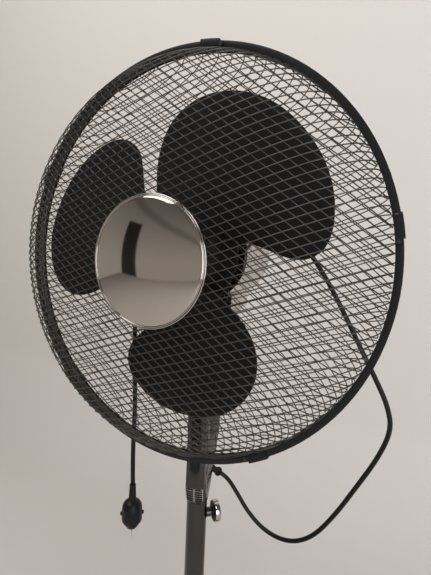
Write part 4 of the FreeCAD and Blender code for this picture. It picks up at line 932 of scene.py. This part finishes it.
class FAN_OT_ribs(bpy.types.Operator):
    """Plate the ground between the insert's black ribs"""
    bl_idname = "fan.ribs"
    bl_label = "Ribs"

    def execute(self, context):
        low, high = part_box("ribbed_insert")
        pitch = (high.z - low.z) / INSERT_RIBS
        plate = node_shell("ribbed_insert")
        plate.transform(Matrix.Rotation(-HOUSING_TURN, 4, "Z"))
        plate.normal_update()
        hidden = []
        for face in plate.faces:
            middle = face.calc_center_median()
            row = ((middle.z - low.z) / pitch) % 1.0
            on_rib = RIB_ROWS[0] < row < RIB_ROWS[1] and RIB_ENDS[0] < abs(middle.x) < RIB_ENDS[1]
            if on_rib or face.normal.y > -0.25:
                hidden.append(face)
        bmesh.ops.delete(plate, geom=hidden, context="FACES")
        plate.normal_update()
        for corner in plate.verts:
            corner.co += corner.normal * PLATE_LIFT
        bmesh.ops.solidify(plate, geom=plate.faces[:], thickness=PLATE_THICKNESS)
        plate.transform(Matrix.Rotation(HOUSING_TURN, 4, "Z"))
        bmesh.ops.recalc_face_normals(plate, faces=plate.faces)
        fit("rib_ground", taken_out(plate, "rib_ground"), "chrome", "pole", "ribbed_insert")
        return {"FINISHED"}


GLAND_LENGTH = 0.026
GLAND_COLLAR = [
    (0.0042, 0.0230), (0.0066, 0.0233), (0.0067, 0.0240), (0.0066, 0.0249), (0.0042, 0.0252),
    (0.0040, GLAND_LENGTH), (0.0, GLAND_LENGTH),
]
GLAND_FLANGE = [
    (0.0, -0.0060), (0.0046, -0.0060), (0.0046, 0.0001), (0.0058, 0.0001), (0.0060, 0.0008),
    (0.0056, 0.0019), (0.0, 0.0022),
]
# Where the flange sits: across the housing's back, out from the column's axis, and up
FLANGE_ACROSS = 0.011
FLANGE_OUT = 0.0243
FLANGE_HEIGHT = 0.5635


class FAN_OT_strain_relief(bpy.types.Operator):
    """Mould the gland on the housing, its ribbed boot and its collar"""
    bl_idname = "fan.strain_relief"
    bl_label = "Strain Relief"

    def execute(self, context):
        start = Vector(CORD_EXIT) - GLAND_DIRECTION * GLAND_LENGTH
        outline = [(0.0, 0.0045), (0.0049, 0.0045)] + ribs_outline(
            5, start=0.0062, radius=0.0050, growth=-0.0002, groove=0.0007, slope=0.0004, length=0.0016)
        boot = turned("gland_boot", eased(outline + GLAND_COLLAR, 0.0003, 2), start, GLAND_DIRECTION, steps=40)
        fit("gland_boot", boot, "plastic", "pole", "strain_relief")
        back = Vector((-math.sin(HOUSING_TURN), math.cos(HOUSING_TURN), 0.0))
        side = Vector((math.cos(HOUSING_TURN), math.sin(HOUSING_TURN), 0.0))
        place = side * FLANGE_ACROSS + back * FLANGE_OUT + Vector((0.0, 0.0, FLANGE_HEIGHT))
        flange = turned("gland_flange", eased(GLAND_FLANGE, 0.0003), place, back, steps=48)
        fit("gland_flange", flange, "plastic", "pole", "strain_relief")
        return {"FINISHED"}


# ---- finishes and stage --------------------------------------------------------------------------
class FAN_OT_finishes(bpy.types.Operator):
    """Make the finishes and give them to the CAD nodes"""
    bl_idname = "fan.finishes"
    bl_label = "Finishes"

    def execute(self, context):
        make_finishes(context.scene.fan_colours)
        for node, finish in NODE_FINISH.items():
            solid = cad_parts[node]
            if not solid.material_slots:
                solid.data.materials.append(FINISHES[finish])
            for slot in solid.material_slots:
                slot.material = FINISHES[finish]
        return {"FINISHED"}


# Each lamp's offset from the middle of the guard, its width, its height and its colour
LIGHTS = {
    "key": ((-1.0, -1.0, 2.6), 1.6, 1.4, (1.0, 0.97, 0.93)),
    "fill": ((1.7, -1.3, 0.1), 1.2, 1.6, (0.93, 0.96, 1.0)),
    "top": ((1.0, -0.9, 2.1), 1.4, 1.2, (1.0, 0.99, 0.97)),
}


def soft_light(name, power, offset, width, height, colour):
    """A large soft lamp at an offset from the middle of the guard, turned to face it."""
    light = bpy.data.lights.new(name, "AREA")
    light.shape = "RECTANGLE"
    light.size = width
    light.size_y = height
    light.energy = power
    light.color = colour
    lamp = bpy.data.objects.new(name, light)
    lamp.location = HEAD_CENTRE + Vector(offset)
    lamp.rotation_euler = (HEAD_CENTRE - lamp.location).to_track_quat("-Z", "Y").to_euler()
    bpy.context.scene.collection.objects.link(lamp)


BACKDROP_DROP = 0.0004
BEND_STEPS = 12


def backdrop_mesh(width, front, back, height, bend):
    """Floor and wall in one sheet, with a rounded corner between them."""
    outline = [(front, 0.0)]
    for step in range(BEND_STEPS + 1):
        turn = math.pi / 2 * step / BEND_STEPS
        outline.append((back - bend + bend * math.sin(turn), bend - bend * math.cos(turn)))
    outline.append((back, height))
    sheet = bmesh.new()
    rows = [[sheet.verts.new((x, y, z - BACKDROP_DROP)) for x in (-width / 2, width / 2)]
            for y, z in outline]
    for first, second in zip(rows, rows[1:]):
        sheet.faces.new((first[0], first[1], second[1], second[0]))
    return smooth(taken_out(sheet, "backdrop"))


def edge_step(value, low, high, soft):
    """One inside low..high and nought outside, with soft edges."""
    rise = ((value - low) / soft).at_least(0.0).at_most(1.0)
    fall = ((high - value) / soft).at_least(0.0).at_most(1.0)
    return rise * fall


def room_world(low, high, strength):
    """A plain warm room, dimmer overhead; bright metal also shows a dark doorway and a ceiling line."""
    doorway_dark = 0.93
    ceiling_dark = 0.35
    world = bpy.data.worlds.new("room")
    world.use_nodes = True
    graph = Graph(world.node_tree)
    glow = world.node_tree.nodes["Background"]
    across, away, rise = graph.split(graph.out("ShaderNodeTexCoord", output="Object"))
    heading = across / (away.size() + 0.001)
    front = (away * -50.0).at_least(0.0).at_most(1.0)
    doorway = edge_step(heading, low=-1.45, high=-0.80, soft=0.04)
    doorway = doorway * edge_step(rise, low=-0.9, high=0.42, soft=0.02) * front
    ceiling = edge_step(rise + across * 0.35, low=0.30, high=0.44, soft=0.05) * ceiling_dark
    mirrored = graph.out("ShaderNodeLightPath", output="Is Glossy Ray")
    dimmed = (1.0 - doorway * mirrored * doorway_dark) * (1.0 - ceiling * mirrored)
    mix = graph.node("ShaderNodeMix", {"data_type": "RGBA"})
    feed(mix.inputs[0], (rise * 1.4).at_least(0.0).at_most(1.0))
    feed(mix.inputs[6], (*low, 1.0))
    feed(mix.inputs[7], (*high, 1.0))
    feed(glow.inputs["Color"], Value(mix.outputs[2]))
    feed(glow.inputs["Strength"], dimmed * strength)
    return world


CAMERA_OFFSET = Vector((0.2353, -0.3788, 0.0096))
CAMERA_FORWARD = Vector((-0.4463, 0.8909, -0.087))
CAMERA_UP = Vector((-0.0775, 0.0584, 0.995))
CAMERA_LENS = 25.04


def place_camera(context):
    """Stand the camera in front of the guard, a little to its right and nearly level."""
    lens = bpy.data.cameras.new("camera")
    lens.sensor_width = 36.0
    lens.lens = CAMERA_LENS
    lens.clip_start = 0.01
    camera = bpy.data.objects.new("camera", lens)
    forward = CAMERA_FORWARD.normalized()
    right = forward.cross(CAMERA_UP).normalized()
    up = right.cross(forward)
    turn = Matrix((right, up, -forward)).transposed().to_4x4()
    camera.matrix_world = Matrix.Translation(HEAD_CENTRE + CAMERA_OFFSET) @ turn
    context.scene.collection.objects.link(camera)
    context.scene.camera = camera


class FAN_OT_stage(bpy.types.Operator):
    """Set up the pale backdrop, the lights and the camera"""
    bl_idname = "fan.stage"
    bl_label = "Stage"

    def execute(self, context):
        settings = context.scene.fan_stage
        FINISHES["backdrop"] = backdrop_finish(settings.backdrop)
        sheet = backdrop_mesh(width=9.0, front=-3.2, back=0.9, height=4.0, bend=0.35)
        new_piece("backdrop", sheet, "backdrop")
        for name, layout in LIGHTS.items():
            soft_light(name, getattr(settings, name + "_power"), *layout)
        context.scene.view_settings.view_transform = "Standard"
        context.scene.world = room_world(settings.room_low, settings.room_high, settings.room_glow)
        place_camera(context)
        return {"FINISHED"}


class FAN_PT_panel(bpy.types.Panel):
    """Lists the fan's settings and the operators that build it"""
    bl_idname = "FAN_PT_panel"
    bl_label = "Pedestal Fan"
    bl_space_type = "VIEW_3D"
    bl_region_type = "UI"
    bl_category = "Fan"

    def draw(self, context):
        for operator in BUILD_ORDER:
            self.layout.operator(operator.bl_idname)
        for name, _ in SETTINGS:
            group = getattr(context.scene, name)
            for setting in group.bl_rna.properties.keys():
                if setting not in ("rna_type", "name"):
                    self.layout.prop(group, setting)


SETTINGS = (("fan_guard", FanGuardSettings), ("fan_cord", FanCordSettings),
            ("fan_colours", FanColourSettings), ("fan_stage", FanStageSettings))
BUILD_ORDER = (FAN_OT_finishes, FAN_OT_guard_wires, FAN_OT_soft_edges, FAN_OT_badge, FAN_OT_height_knob,
               FAN_OT_ribs, FAN_OT_plug, FAN_OT_strain_relief, FAN_OT_cord, FAN_OT_stage)
CLASSES = tuple(group for _, group in SETTINGS) + BUILD_ORDER + (FAN_PT_panel,)


def register():
    for item in CLASSES:
        bpy.utils.register_class(item)
    for name, group in SETTINGS:
        setattr(bpy.types.Scene, name, PointerProperty(type=group))


def unregister():
    for name, _ in SETTINGS:
        delattr(bpy.types.Scene, name)
    for item in reversed(CLASSES):
        bpy.utils.unregister_class(item)


def main():
    register()
    for operator in BUILD_ORDER:
        category, name = operator.bl_idname.split(".")
        getattr(getattr(bpy.ops, category), name)()


if __name__ == "__main__":
    main()
